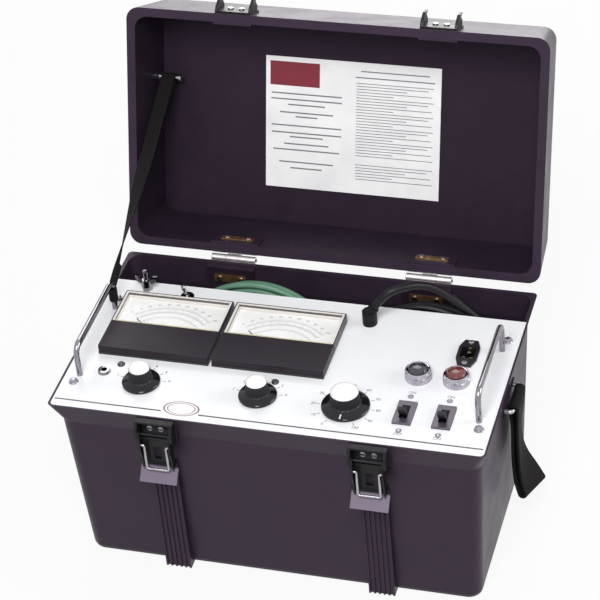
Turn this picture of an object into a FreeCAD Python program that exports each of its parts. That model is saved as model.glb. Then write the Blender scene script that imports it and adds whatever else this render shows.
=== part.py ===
import FreeCAD, Part
import math
import os
import re

import Sketcher
from FreeCAD import Placement, Rotation, Vector

# Portable high-voltage insulation tester in a hinged moulded case, lid open.
# Frame: origin at the centre of the tub's base, +X right, +Y to the hinges, +Z up. Millimetres.

doc = FreeCAD.newDocument("insulation_tester")
sheet = doc.addObject("Spreadsheet::Sheet", "sizes")

SIZES = (
    # Tub
    ("rim_width", 460, "tub rim, left to right"),
    ("rim_depth", 268, "tub rim, front to back"),
    ("tub_height", 213, "rest face to rim"),
    ("flare_drop", 26, "height of the flared band under the rim"),
    ("flare_inset", 7.5, "how far the walls step in under the flare"),
    ("base_inset", 15, "how far the base lies inside the rim on each side"),
    ("wall_thickness", 4.5, "moulded wall"),
    ("floor_thickness", 5, "moulded floor"),
    ("corner_round", 14, "upright corners of the walls"),
    ("rim_corner", 5, "corners of the tub's rim and of the panel"),
    ("base_round", 7, "rounded edge round the base"),
    ("ledge_width", 16, "shelf under the panel's ends"),
    ("ledge_front", 9, "shelf under the panel's front"),
    ("ledge_height", 10, "depth of that shelf"),
    ("land_depth", 12, "flat lands moulded through the wall for hinges and latches"),
    ("pad_width", 28, "ribbed pad under each latch"),
    ("pad_rise", 150, "height of the ribbed pads"),
    ("rib_width", 2, "one rib of a pad"),
    ("rib_proud", 1.6, "how far a rib stands out"),
    ("rib_count", 6, "ribs on a pad"),
    ("running_gap", 0.05, "radial clearance of a pin or a shaft"),
    ("fit_gap", 0.3, "clearance between neighbouring pieces"),
    # Lid
    ("lid_overhang", 1, "lid's rim outside the tub's on each side"),
    ("lid_rise", 89, "lid rim to lid top"),
    ("lid_inset", 8.5, "draft of the lid's walls"),
    ("lid_lip", 9.5, "width of the lid's rim"),
    ("lid_top", 4.5, "thickness of the lid's top"),
    ("lid_gap", 0.4, "seam between the closed lid and the rim"),
    ("lid_open_angle", 108, "how far the lid stands open"),
    ("hinge_offset", 6, "hinge axis behind the rim"),
    ("hinge_spread", 110, "hinge centres from the middle"),
    ("hinge_length", 50, "length of one hinge"),
    ("knuckle_radius", 4, "hinge knuckle"),
    ("pin_radius", 1.5, "hinge and latch pins"),
    ("leaf_thickness", 1.8, "hinge leaf"),
    ("leaf_height", 20, "hinge leaf, away from the axis"),
    ("backer_length", 36, "backing plate behind a hinge leaf"),
    ("backer_height", 9, "backing plate"),
    ("backer_thickness", 1.5, "backing plate"),
    ("rivet_radius", 1.6, "rivet shank"),
    ("rivet_head", 3.1, "rivet head radius"),
    ("head_height", 1.4, "rivet head height"),
    ("hinge_rivets", 24, "spacing of a leaf's two rivets"),
    # Latches
    ("latch_spread", 112, "latch centres from the middle"),
    ("bracket_width", 40, "latch bracket and keeper"),
    ("bracket_height", 25, "latch bracket and keeper"),
    ("bracket_plate", 2, "sheet of the bracket"),
    ("bracket_top", 1, "bracket's top edge under the rim"),
    ("ear_thickness", 3, "ears of bracket and keeper"),
    ("ear_reach", 13, "how far the ears stand out"),
    ("pivot_reach", 8, "lever pivot in front of the land"),
    ("pivot_drop", 15, "lever pivot under the bracket's top"),
    ("latch_rivets", 12, "spacing of a bracket's two rivets"),
    ("lever_length", 45, "lever from its pivot to the finger lip"),
    ("lever_sheet", 1.8, "sheet of the lever"),
    ("lip_width", 40, "finger lip"),
    ("lip_reach", 13, "how far the lip flares out"),
    ("lip_drop", 13, "height of the lip"),
    ("bail_radius", 1.4, "bail wire"),
    ("bail_length", 31, "bail from its pivot to its cross bar"),
    ("bail_drop", 13, "bail pivot under the lever pivot"),
    # Carrying loops
    ("strap_drop", 44, "strap bar under the rim"),
    ("strap_center", 11, "strap bar behind the case's middle"),
    ("strap_reach", 7.5, "strap bar in front of the land"),
    ("strap_width", 38, "webbing of the carrying loop"),
    ("strap_thickness", 3, "webbing of the carrying loop"),
    ("strap_fall", 119, "bar to the loop's lower bend"),
    ("strap_lean", 16, "lower bend further out than the bar"),
    ("strap_bend", 7.5, "outer radius of the lower bend"),
    ("bar_radius", 2.5, "strap bar"),
    ("land_margin", 3, "land round the bar"),
    ("side_land", 1, "how far the side lands stand out under the flare"),
    # Panel
    ("panel_thickness", 3, "front panel"),
    ("panel_drop", 0.5, "panel under the rim"),
    ("panel_lip", 2, "rim left outside the panel"),
    ("panel_reach", 218, "panel's back edge from the rim's front"),
    ("screw_side_in", 15, "panel screws from the rim's sides"),
    ("screw_front_in", 41.5, "front panel screws from the rim's front"),
    ("screw_rear_in", 184, "rear panel screws from the rim's front"),
    ("screw_radius", 2, "panel screw shank"),
    ("screw_head", 4, "panel screw head radius"),
    ("screw_length", 12, "panel screw under its head"),
    ("washer_radius", 5.4, "cup washer"),
    ("washer_height", 1.6, "cup washer"),
    ("handle_side_in", 17.7, "panel handles from the rim's sides"),
    ("handle_front_in", 53.5, "front foot of a handle from the rim's front"),
    ("handle_rear_in", 168, "rear foot of a handle from the rim's front"),
    ("handle_height", 36, "panel to the handle's axis"),
    ("handle_radius", 3.1, "handle rod"),
    ("handle_bend", 11, "bend of a handle"),
    ("handle_nut", 7, "nut under a handle foot"),
    # Meters
    ("meter_left_in", 86.5, "left meter's middle from the rim's left"),
    ("meter_right_in", 211.2, "right meter's middle from the rim's left"),
    ("meter_in", 138.5, "meters' middle from the rim's front"),
    ("meter_width", 121, "meter front"),
    ("meter_depth", 97, "meter front"),
    ("meter_base", 3, "meter base plate"),
    ("meter_height", 11, "meter front above the panel"),
    ("cover_depth", 44.5, "dark cover over the pivot"),
    ("frame_wall", 3.5, "frame round the window"),
    ("window_thickness", 2, "meter window"),
    ("dial_thickness", 0.8, "meter dial"),
    ("housing_radius", 31, "meter housing under the panel"),
    ("housing_shift", 8, "housing behind the needle's pivot"),
    ("housing_depth", 42, "meter housing under the panel"),
    ("housing_wall", 2, "meter housing"),
    ("movement_radius", 18, "meter movement"),
    ("movement_height", 30, "meter movement"),
    ("needle_pivot", 21, "needle pivot in front of the cover's edge"),
    ("needle_length", 50, "needle"),
    ("needle_width", 0.9, "needle"),
    ("needle_rest", 47, "needle's rest angle, left of straight back"),
    ("needle_lift", 5.2, "needle above the panel"),
    # Knobs
    ("knob_in", 52, "knobs from the rim's front"),
    ("multiplier_in", 86, "first small knob from the rim's left"),
    ("range_in", 212, "second small knob from the rim's left"),
    ("output_in", 155, "large knob from the rim's right"),
    ("small_skirt", 20, "skirt radius of the small knobs"),
    ("small_grip", 11.5, "grip radius of the small knobs"),
    ("large_skirt", 25, "skirt radius of the large knob"),
    ("large_grip", 15, "grip radius of the large knob"),
    ("skirt_height", 3, "knob skirt"),
    ("knob_height", 22, "knob"),
    ("knob_taper", 1.8, "taper of the grip"),
    ("cap_height", 1.2, "bright cap let into the knob"),
    ("knob_lift", 0.8, "knob above the panel"),
    ("shaft_radius", 3, "knob shaft"),
    ("shaft_grip", 12, "shaft inside the knob"),
    ("shaft_length", 34, "shaft under the panel"),
    ("bushing_radius", 5, "threaded bushing through the panel"),
    ("switch_radius", 20, "rotary switch"),
    ("switch_depth", 32, "rotary switch"),
    ("variac_radius", 26, "variable transformer"),
    ("variac_depth", 58, "variable transformer"),
    # Terminal, toggle, jack
    ("terminal_side_in", 42, "earth terminal from the rim's left"),
    ("terminal_in", 206, "earth terminal from the rim's front"),
    ("stud_radius", 3, "earth stud"),
    ("stud_height", 24, "earth stud above the panel"),
    ("nut_radius", 6, "nuts, across corners"),
    ("nut_height", 5, "nuts"),
    ("wing_span", 13, "wing tip from the stud"),
    ("wing_height", 13, "wing nut"),
    ("toggle_side_in", 90, "polarity toggle from the rim's left"),
    ("toggle_in", 198.5, "polarity toggle from the rim's front"),
    ("toggle_length", 15, "bat above its pivot"),
    ("toggle_tilt", 14, "bat from upright"),
    ("jack_side_in", 41.5, "recorder jack from the rim's left"),
    ("jack_in", 63, "recorder jack from the rim's front"),
    ("jack_radius", 7, "jack ring"),
    ("jack_bore", 3.2, "jack opening"),
    ("plug_left_in", 55.5, "first zero plug from the rim's left"),
    ("plug_right_in", 223.5, "second zero plug from the rim's left"),
    ("plug_in", 77, "zero plugs from the rim's front"),
    ("plug_radius", 4, "zero plugs"),
    # Lamps, breakers, inlet
    ("lamp_left_in", 93, "dark lamp from the rim's right"),
    ("lamp_right_in", 53, "red lamp from the rim's right"),
    ("lamp_in", 110, "lamps from the rim's front"),
    ("bezel_radius", 14, "lamp bezel"),
    ("bezel_height", 12, "lamp bezel"),
    ("lens_radius", 10, "lamp lens"),
    ("lamp_neck", 8.5, "lamp neck through the panel"),
    ("lamp_depth", 34, "lamp holder under the panel"),
    ("breaker_left_in", 93.5, "first breaker from the rim's right"),
    ("breaker_right_in", 53, "second breaker from the rim's right"),
    ("breaker_in", 52, "breakers from the rim's front"),
    ("breaker_width", 19, "breaker face"),
    ("breaker_depth", 34, "breaker face"),
    ("breaker_proud", 3, "breaker face above the panel"),
    ("breaker_body", 62, "breaker body under the panel"),
    ("breaker_drop", 40, "breaker body under the panel"),
    ("breaker_screws", 53.5, "spacing of a breaker's screws"),
    ("lever_width", 8, "breaker lever"),
    ("lever_thick", 4.2, "breaker lever"),
    ("lever_rise", 21, "breaker lever above its pivot"),
    ("lever_hub", 5, "breaker lever's hub"),
    ("lever_tilt", 28, "breaker lever from upright"),
    ("lever_depth", 3, "breaker pivot under the panel's face"),
    ("inlet_side_in", 51, "mains inlet from the rim's right"),
    ("inlet_in", 155, "mains inlet from the rim's front"),
    ("inlet_length", 41, "inlet flange"),
    ("inlet_width", 22, "inlet flange"),
    ("inlet_flange", 3, "inlet flange"),
    ("inlet_body", 22, "inlet body under the panel"),
    ("inlet_screws", 34, "spacing of the inlet's screws"),
    ("inlet_pin", 2, "inlet pins"),
    # Leads and what holds them
    ("sheet_gauge", 2, "sheet of the lead well"),
    ("well_floor", 27, "lead well's floor above the rest face"),
    ("well_side_in", 29, "lead well's ends from the rim's sides"),
    ("well_back_in", 21, "lead well's floor from the rim's back"),
    ("flange_depth", 5, "flange of the well sheet under the panel"),
    ("gland_side_in", 296, "lead gland from the rim's left"),
    ("gland_in", 189, "lead gland from the rim's front"),
    ("gland_radius", 7.8, "gland nut"),
    ("gland_height", 16, "gland nut"),
    ("boot_radius", 6.4, "boot at its foot"),
    ("boot_tip", 5.5, "boot at its tip"),
    ("boot_length", 10, "boot"),
    ("boot_tilt", 35, "boot leans this far to the right"),
    ("test_lead", 9, "diameter of the test lead"),
    ("test_pitch", 10.9, "spacing of its turns"),
    ("test_coil", 87, "radius of its outer turn"),
    ("test_coil_x", 118, "middle of its coil"),
    ("test_layer", 94, "its first layer"),
    ("earth_lead", 6.6, "diameter of the earth lead"),
    ("earth_pitch", 8.1, "spacing of its turns"),
    ("earth_coil", 90, "radius of its outer turn"),
    ("earth_coil_x", -70, "middle of its coil"),
    ("earth_layer", 91, "its first layer"),
    ("test_lift", 1, "test lead above the well's floor"),
    ("earth_lift", 3, "earth lead above the well's floor"),
    ("sleeve_radius", 5, "sleeve at the test lead's end"),
    ("sleeve_length", 46, "sleeve at the test lead's end"),
    ("lug_barrel", 4.2, "lug barrel of the earth lead"),
    ("lug_length", 16, "lug barrel of the earth lead"),
    ("lug_ring", 5.5, "lug eye"),
    ("lug_plate", 2, "lug eye"),
    # Lid stay and card
    ("stay_width", 16, "lid stay webbing"),
    ("stay_thickness", 1.5, "lid stay webbing"),
    ("stay_along", 180, "stay's pin from the hinge axis, along the lid"),
    ("stay_deep", 69.6, "stay's pin from the lid's rim, into the lid"),
    ("stay_pin", 3, "radius of the stay's pin"),
    ("stay_reach", 26, "how far the stay's pin stands off the lid's wall"),
    ("stay_in", 12.5, "middle of the webbing from the lid's wall, at the pin"),
    ("stay_lift", 19, "stay eye above the panel"),
    ("card_width", 198, "instruction card"),
    ("card_height", 150, "instruction card"),
    ("card_thickness", 0.6, "instruction card"),
    ("card_along", 60, "card from the hinge axis"),
    # Inside
    ("core_length", 100, "high-voltage transformer"),
    ("core_depth", 36, "lamination stack"),
    ("core_height", 84, "lamination stack"),
    ("core_limb", 17, "outer limbs of the stack"),
    ("winding_depth", 74, "winding, front to back"),
    ("transformer_x", 116, "high-voltage transformer"),
    ("transformer_y", -8, "high-voltage transformer"),
    ("board_length", 190, "rectifier board"),
    ("board_width", 110, "rectifier board"),
    ("board_thickness", 1.6, "rectifier board"),
    ("board_side_in", 135, "rectifier board's middle from the rim's left"),
    ("board_y", -18, "rectifier board"),
    ("standoff_height", 14, "board standoffs"),
    ("standoff_radius", 4, "board standoffs"),
    ("capacitor_radius", 15, "rectifier capacitors"),
    ("capacitor_height", 62, "rectifier capacitors"),
    ("capacitor_pitch", 44, "rectifier capacitors"),
)

for row, (alias, size, note) in enumerate(SIZES, start=1):
    sheet.set(f"A{row}", note)
    sheet.set(f"B{row}", str(size))
    sheet.setAlias(f"B{row}", alias)
doc.recompute()

ALIAS = re.compile(r"\b[a-z]+(?:_[a-z]+)+\b")
# Places across and along the panel, and what spans the rim, worked out from the rim's edges.
PLACES = {
    "multiplier_place": "(multiplier_in - rim_width / 2)",
    "range_place": "(range_in - rim_width / 2)",
    "output_place": "(rim_width / 2 - output_in)",
    "knob_row": "(knob_in - rim_depth / 2)",
    "panel_back": "(panel_reach - rim_depth / 2)",
    "screw_spread": "(rim_width / 2 - screw_side_in)",
    "screw_front": "(screw_front_in - rim_depth / 2)",
    "screw_rear": "(screw_rear_in - rim_depth / 2)",
    "handle_spread": "(rim_width / 2 - handle_side_in)",
    "handle_front": "(handle_front_in - rim_depth / 2)",
    "handle_rear": "(handle_rear_in - rim_depth / 2)",
    "meter_left": "(meter_left_in - rim_width / 2)",
    "meter_right": "(meter_right_in - rim_width / 2)",
    "meter_middle": "(meter_in - rim_depth / 2)",
    "terminal_x": "(terminal_side_in - rim_width / 2)",
    "terminal_y": "(terminal_in - rim_depth / 2)",
    "toggle_x": "(toggle_side_in - rim_width / 2)",
    "toggle_y": "(toggle_in - rim_depth / 2)",
    "jack_x": "(jack_side_in - rim_width / 2)",
    "jack_y": "(jack_in - rim_depth / 2)",
    "plug_left": "(plug_left_in - rim_width / 2)",
    "plug_right": "(plug_right_in - rim_width / 2)",
    "plug_row": "(plug_in - rim_depth / 2)",
    "lamp_left": "(rim_width / 2 - lamp_left_in)",
    "lamp_right": "(rim_width / 2 - lamp_right_in)",
    "lamp_row": "(lamp_in - rim_depth / 2)",
    "breaker_left": "(rim_width / 2 - breaker_left_in)",
    "breaker_right": "(rim_width / 2 - breaker_right_in)",
    "breaker_row": "(breaker_in - rim_depth / 2)",
    "inlet_x": "(rim_width / 2 - inlet_side_in)",
    "inlet_y": "(inlet_in - rim_depth / 2)",
    "gland_x": "(gland_side_in - rim_width / 2)",
    "gland_y": "(gland_in - rim_depth / 2)",
    "well_width": "(rim_width - 2 * well_side_in)",
    "well_depth": "(rim_depth - panel_reach - well_back_in)",
    "lid_width": "(rim_width + 2 * lid_overhang)",
    "board_x": "(board_side_in - rim_width / 2)",
}
PANEL_TOP = "(tub_height - panel_drop)"
PANEL_UNDER = "(tub_height - panel_drop - panel_thickness)"
HINGE_Y = "(rim_depth / 2 + hinge_offset)"
AXES = {
    "+X": Rotation(Vector(0, 0, 1), Vector(1, 0, 0)),
    "+Y": Rotation(Vector(0, 0, 1), Vector(0, 1, 0)),
    "-Y": Rotation(Vector(0, 0, 1), Vector(0, -1, 0)),
    "+Z": Rotation(),
    "-Z": Rotation(Vector(1, 0, 0), 180),
}
gauge = doc.addObject("Part::Vertex", "gauge")
nodes = []


def formula(text):
    """A formula in the sheet's words and places, as the document reads it."""
    text = ALIAS.sub(lambda word: PLACES.get(word.group(), word.group()), text)
    return ALIAS.sub(lambda word: "sizes." + word.group(), text)


def number(text):
    """What a formula in the sheet's words comes to, read back from a bound length."""
    gauge.setExpression("X", formula(text))
    gauge.recompute()
    return gauge.X.Value


def place(item, corner, turn=Rotation()):
    item.Placement = Placement(Vector(*(number(text) for text in corner)), turn)
    for axis, text in zip("xyz", corner):
        item.setExpression("Placement.Base." + axis, formula(text))
    return item


def box(name, size, corner):
    item = doc.addObject("Part::Box", name)
    for side, text in zip(("Length", "Width", "Height"), size):
        item.setExpression(side, formula(text))
    return place(item, corner)


def rod(name, radius, length, foot, axis="+Z"):
    item = doc.addObject("Part::Cylinder", name)
    item.setExpression("Radius", formula(radius))
    item.setExpression("Height", formula(length))
    return place(item, foot, AXES[axis])


def fuse(name, pieces):
    item = doc.addObject("Part::MultiFuse", name)
    item.Shapes = pieces
    return item


def group(name, pieces):
    item = doc.addObject("Part::Compound", name)
    item.Links = pieces
    return item


def cut(name, base, tools):
    item = doc.addObject("Part::Cut", name)
    item.Base = base
    item.Tool = group(name + "_tools", tools)
    return item


def keep(item):
    """Hand a finished sub-part over to the list of nodes."""
    nodes.append(item)
    return item


def new_sketch(body, name, plane="XY_Plane", height="0"):
    sketch = body.newObject("Sketcher::SketchObject", name)
    base = next(face for face in body.Origin.OriginFeatures if face.Role == plane)
    sketch.AttachmentSupport = [(base, "")]
    sketch.MapMode = "FlatFace"
    sketch.setExpression("AttachmentOffset.Base.z", formula(height))
    return sketch


def bind(sketch, kind, geometry, end, text):
    """Hold one coordinate of a line's end at a formula."""
    index = sketch.addConstraint(Sketcher.Constraint(kind, -1, 1, geometry, end, number(text)))
    sketch.setExpression(f"Constraints[{index}]", formula(text))


def draw_polygon(sketch, points):
    corners = [Vector(number(a), number(b), 0) for a, b in points]
    count = len(corners)
    for index in range(count):
        sketch.addGeometry(Part.LineSegment(corners[index], corners[(index + 1) % count]))
    for index in range(count):
        joint = Sketcher.Constraint("Coincident", index, 2, (index + 1) % count, 1)
        sketch.addConstraint(joint)
    for index, (across, along) in enumerate(points):
        bind(sketch, "DistanceX", index, 1, across)
        bind(sketch, "DistanceY", index, 1, along)


def draw_rectangle(sketch, left, right, front, back, radius, rounded=(True, True, True, True)):
    """A rectangle whose corners, from front right anticlockwise, are rounded or square."""
    x0, x1, y0, y1 = number(left), number(right), number(front), number(back)
    r = number(radius)
    corners = (Vector(x1, y0, 0), Vector(x1, y1, 0), Vector(x0, y1, 0), Vector(x0, y0, 0))
    steps = (Vector(1, 0, 0), Vector(0, 1, 0), Vector(-1, 0, 0), Vector(0, -1, 0))
    for side in range(4):
        start = corners[side - 1] + steps[side] * (r if rounded[side - 1] else 0)
        end = corners[side] - steps[side] * (r if rounded[side] else 0)
        sketch.addGeometry(Part.LineSegment(start, end))
        sketch.addConstraint(Sketcher.Constraint("Vertical" if side % 2 else "Horizontal", side))
    for side in range(4):
        after = (side + 1) % 4
        if not rounded[side]:
            sketch.addConstraint(Sketcher.Constraint("Coincident", side, 2, after, 1))
            continue
        middle = corners[side] - steps[side] * r + steps[after] * r
        first = math.radians(90 * side - 90)
        circle = Part.Circle(middle, Vector(0, 0, 1), r)
        arc = sketch.addGeometry(Part.ArcOfCircle(circle, first, first + math.pi / 2))
        sketch.addConstraint(Sketcher.Constraint("Tangent", side, 2, arc, 1))
        sketch.addConstraint(Sketcher.Constraint("Tangent", arc, 2, after, 1))
        index = sketch.addConstraint(Sketcher.Constraint("Radius", arc, r))
        sketch.setExpression(f"Constraints[{index}]", formula(radius))
    for side, (kind, text) in enumerate(
        (("DistanceY", front), ("DistanceX", right), ("DistanceY", back), ("DistanceX", left))
    ):
        bind(sketch, kind, side, 1, text)


def padded(name, points, length, plane="XY_Plane", height="0", foot=("0", "0", "0")):
    """A prism on a polygon."""
    body = doc.addObject("PartDesign::Body", name)
    sketch = new_sketch(body, name + "_outline", plane, height)
    draw_polygon(sketch, points)
    pad = body.newObject("PartDesign::Pad", name + "_pad")
    pad.Profile = sketch
    pad.setExpression("Length", formula(length))
    return place(body, foot)


def plate(name, left, right, front, back, radius, bottom, thickness, rounded=(True, True, True, True)):
    """A flat plate with rounded corners."""
    body = doc.addObject("PartDesign::Body", name)
    sketch = new_sketch(body, name + "_outline", height=bottom)
    draw_rectangle(sketch, left, right, front, back, radius, rounded)
    pad = body.newObject("PartDesign::Pad", name + "_pad")
    pad.Profile = sketch
    pad.setExpression("Length", formula(thickness))
    return body


def turned(name, points, foot, turn=Rotation()):
    """A piece turned about its upright axis from a half outline of radius and height."""
    body = doc.addObject("PartDesign::Body", name)
    sketch = new_sketch(body, name + "_outline", "XZ_Plane")
    draw_polygon(sketch, points)
    spun = body.newObject("PartDesign::Revolution", name + "_turn")
    spun.Profile = sketch
    spun.ReferenceAxis = (sketch, ["V_Axis"])
    spun.Angle = 360
    return place(body, foot, turn)


def rivet(name, foot, axis, grip):
    """A headed rivet whose grip starts at its foot and runs along the axis."""
    head = ("rivet_head", "head_height")
    start = rod(name + "_shank", "rivet_radius", grip, foot, axis)
    step = AXES[axis].multVec(Vector(0, 0, 1))
    near = [f"{text} - ({component:.0f}) * head_height" for text, component in zip(foot, step)]
    far = [f"{text} + ({component:.0f}) * ({grip})" for text, component in zip(foot, step)]
    heads = [rod(name + "_near", *head, near, axis), rod(name + "_far", *head, far, axis)]
    return fuse(name, [start] + heads)


def rivet_hole(name, foot, axis, grip):
    return rod(name, "rivet_radius + running_gap", grip, foot, axis)


def sides(spread):
    """Left and right places of a piece that comes in pairs."""
    return (("left", f"-{spread}"), ("right", spread))


def rounded_path(points, radius):
    """Straight runs through the points, joined by tangent arcs of one radius."""
    edges = []
    start = points[0]
    for before, corner, after in zip(points, points[1:], points[2:]):
        inward = (corner - before).normalize()
        outward = (after - corner).normalize()
        half = inward.getAngle(outward) / 2
        bend = radius(before, corner, after) if callable(radius) else radius
        reach = bend * math.tan(half)
        entry = corner - inward * reach
        leave = corner + outward * reach
        edges.append(Part.LineSegment(start, entry).toShape())
        edges.append(arc_edge(entry, corner, leave))
        start = leave
    edges.append(Part.LineSegment(start, points[-1]).toShape())
    return Part.Wire(edges)


def arc_edge(start, corner, end):
    """The arc that leaves one point towards a corner and reaches the other from it."""
    chord = (start + end) * 0.5
    half = (corner - start).getAngle(end - corner) / 2
    middle = chord + (corner - chord) * (math.cos(half) / (1 + math.cos(half)))
    return Part.Arc(start, middle, end).toShape()


def round_bar(path, radius):
    """A round bar along a path of lines and arcs."""
    first = path.OrderedEdges[0]
    start = first.valueAt(first.FirstParameter)
    heading = first.tangentAt(first.FirstParameter)
    ring = Part.Wire(Part.Circle(start, heading, radius).toShape())
    return Part.Wire(path.OrderedEdges).makePipeShell([ring], True, False)


def shaped(name, shape, placement=Placement()):
    item = doc.addObject("Part::Feature", name)
    item.Shape = shape
    item.Placement = placement
    return item


# The moulded tub

def tub_section(body, name, height, inset, corner="corner_round"):
    """One level of the tub's outline, inset from the rim on every side."""
    sketch = new_sketch(body, name, height=height)
    half_width = f"(rim_width / 2 - ({inset}))"
    half_depth = f"(rim_depth / 2 - ({inset}))"
    draw_rectangle(sketch, "-" + half_width, half_width, "-" + half_depth, half_depth, corner)
    return sketch


def ribbed_outline(center):
    """Plan of a ribbed pad: teeth along its front, back edge inside the wall."""
    front = "-(rim_depth / 2 - flare_inset + 1)"
    count = int(number("rib_count"))
    points = []
    for rib in range(count):
        left = f"{center} - pad_width / 2 + (pad_width - rib_width) * {rib} / (rib_count - 1)"
        points += [(left, front), (left, f"{front} - rib_proud")]
        points += [(f"{left} + rib_width", f"{front} - rib_proud"), (f"{left} + rib_width", front)]
    back = "-(rim_depth / 2 - base_inset - wall_thickness / 2)"
    points = points[1:-1]
    return [(f"{center} - pad_width / 2", back)] + points + [(f"{center} + pad_width / 2", back)]


def make_tub():
    body = doc.addObject("PartDesign::Body", "tub_shell")
    flare = "(tub_height - flare_drop)"
    outer = [tub_section(body, "tub_base", "0", "base_inset + base_round * 0.6")]
    outer.append(tub_section(body, "tub_turn", "base_round * 0.3", "base_inset + base_round * 0.17"))
    outer.append(tub_section(body, "tub_wall", "base_round * 0.9", "base_inset"))
    outer.append(tub_section(body, "tub_flare", flare, "flare_inset"))
    outer.append(tub_section(body, "tub_rim", "tub_height", "0", "rim_corner"))
    loft = body.newObject("PartDesign::AdditiveLoft", "tub_outside")
    loft.Profile = outer[0]
    loft.Sections = outer[1:]
    loft.Ruled = True
    doc.recompute()
    inner = [tub_section(body, "tub_floor", "floor_thickness", "base_inset + wall_thickness")]
    inner.append(tub_section(body, "tub_inner_flare", flare, "flare_inset + wall_thickness"))
    inner.append(tub_section(body, "tub_inner_rim", "tub_height", "wall_thickness"))
    hollow = body.newObject("PartDesign::SubtractiveLoft", "tub_inside")
    hollow.Profile = inner[0]
    hollow.Sections = inner[1:]
    hollow.Ruled = True
    doc.recompute()

    # A shelf on three sides carries the panel.
    outside = "(rim_width / 2 - wall_thickness)"
    front = "(rim_depth / 2 - wall_thickness)"
    inside_x = f"({outside} - ledge_width)"
    inside_y = f"({front} - ledge_front)"
    shelf = padded("tub_shelf", [
        ("-" + outside, "panel_back"), ("-" + outside, f"-{front} + corner_round"),
        (f"-{outside} + corner_round", "-" + front), (f"{outside} - corner_round", "-" + front),
        (outside, f"-{front} + corner_round"), (outside, "panel_back"),
        (inside_x, "panel_back"), (inside_x, "-" + inside_y),
        ("-" + inside_x, "-" + inside_y), ("-" + inside_x, "panel_back"),
    ], "ledge_height", height=f"{PANEL_UNDER} - ledge_height")
    additions = [body, shelf]
    for side, x in sides("hinge_spread"):
        corner = (f"{x} - hinge_length / 2 - 2", "rim_depth / 2 - land_depth", "tub_height - leaf_height - 4")
        size = ("hinge_length + 4", "land_depth", "leaf_height + 3")
        additions.append(box(f"tub_hinge_land_{side}", size, corner))
    for side, x in sides("latch_spread"):
        corner = (f"{x} - bracket_width / 2 - 1", "-rim_depth / 2",
                  "tub_height - bracket_top - bracket_height - 1")
        size = ("bracket_width + 2", "land_depth", "bracket_height + bracket_top - 2")
        additions.append(box(f"tub_latch_land_{side}", size, corner))
        additions.append(padded(f"tub_pad_{side}", ribbed_outline(x), "pad_rise"))
    reach = "(rim_width / 2 - flare_inset + side_land)"
    for side, x in (("left", f"-{reach}"), ("right", f"{reach} - land_depth")):
        corner = (x, f"strap_center - {BAR_HALF} - bar_radius - land_margin",
                  f"{BAR_Z} - bar_radius - land_margin")
        size = ("land_depth", f"2 * ({BAR_HALF} + bar_radius + land_margin)", "2 * (bar_radius + land_margin)")
        additions.append(box(f"tub_strap_land_{side}", size, corner))
    whole = fuse("tub_with_lands", additions)

    rebate = plate(
        "tub_rebate", "-(rim_width / 2 - panel_lip)", "rim_width / 2 - panel_lip",
        "-(rim_depth / 2 - panel_lip)", "panel_back", "rim_corner",
        PANEL_UNDER, "panel_thickness + panel_drop", (True, False, False, True),
    )
    tools = [rebate] + case_rivet_holes()
    tools += panel_screw_rods("shelf_screw_hole", "screw_radius", "screw_length")
    for mark, x, y in handle_feet():
        foot = (x, y, f"{PANEL_UNDER} - ledge_height - 1")
        tools.append(rod(f"shelf_notch_{mark}", "handle_radius + 5", "ledge_height + 2", foot))
    keep(cut("case_tub", whole, tools))


# Rivets through the case's walls

def hinge_rivet_places():
    for side, x in sides("hinge_spread"):
        for mark, step in (("a", "-1"), ("b", "1")):
            yield f"{side}_{mark}", f"{x} + {step} * hinge_rivets / 2"


def latch_rivet_places():
    for side, x in sides("latch_spread"):
        for mark, step in (("a", "-1"), ("b", "1")):
            yield f"{side}_{mark}", f"{x} + {step} * latch_rivets / 2"


HINGE_GRIP = "leaf_thickness + land_depth + backer_thickness"
HINGE_RIVET_Y = "rim_depth / 2 - land_depth - backer_thickness"
HINGE_RIVET_Z = "tub_height - leaf_height / 2 - 4"
LATCH_GRIP = "bracket_plate + wall_thickness + ledge_front"
LATCH_RIVET_Y = "-rim_depth / 2 - bracket_plate"
LATCH_RIVET_Z = "tub_height - bracket_top - 10.5"
SIDE_FACE = "(rim_width / 2 - flare_inset + side_land)"
BAR_HALF = "(strap_width / 2 + bar_radius + fit_gap)"
BAR_X = "(rim_width / 2 - flare_inset + side_land + strap_reach)"
BAR_Z = "(tub_height - strap_drop)"


def case_rivet_list(make, ending):
    """Every rivet of the tub, or the hole that it passes through."""
    found = []
    for mark, x in hinge_rivet_places():
        found.append(make(f"case_hinge_{ending}_{mark}", (x, HINGE_RIVET_Y, HINGE_RIVET_Z), "+Y", HINGE_GRIP))
    for mark, x in latch_rivet_places():
        found.append(make(f"case_latch_{ending}_{mark}", (x, LATCH_RIVET_Y, LATCH_RIVET_Z), "+Y", LATCH_GRIP))
    return found


def case_rivet_holes():
    return case_rivet_list(rivet_hole, "hole")


def make_case_rivets():
    keep(group("case_rivets", case_rivet_list(rivet, "rivet")))


# Hinges

def knuckle(name, x, start, length):
    foot = (f"{x} + {start}", HINGE_Y, "tub_height")
    return rod(name, "knuckle_radius", length, foot, "+X")


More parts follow.
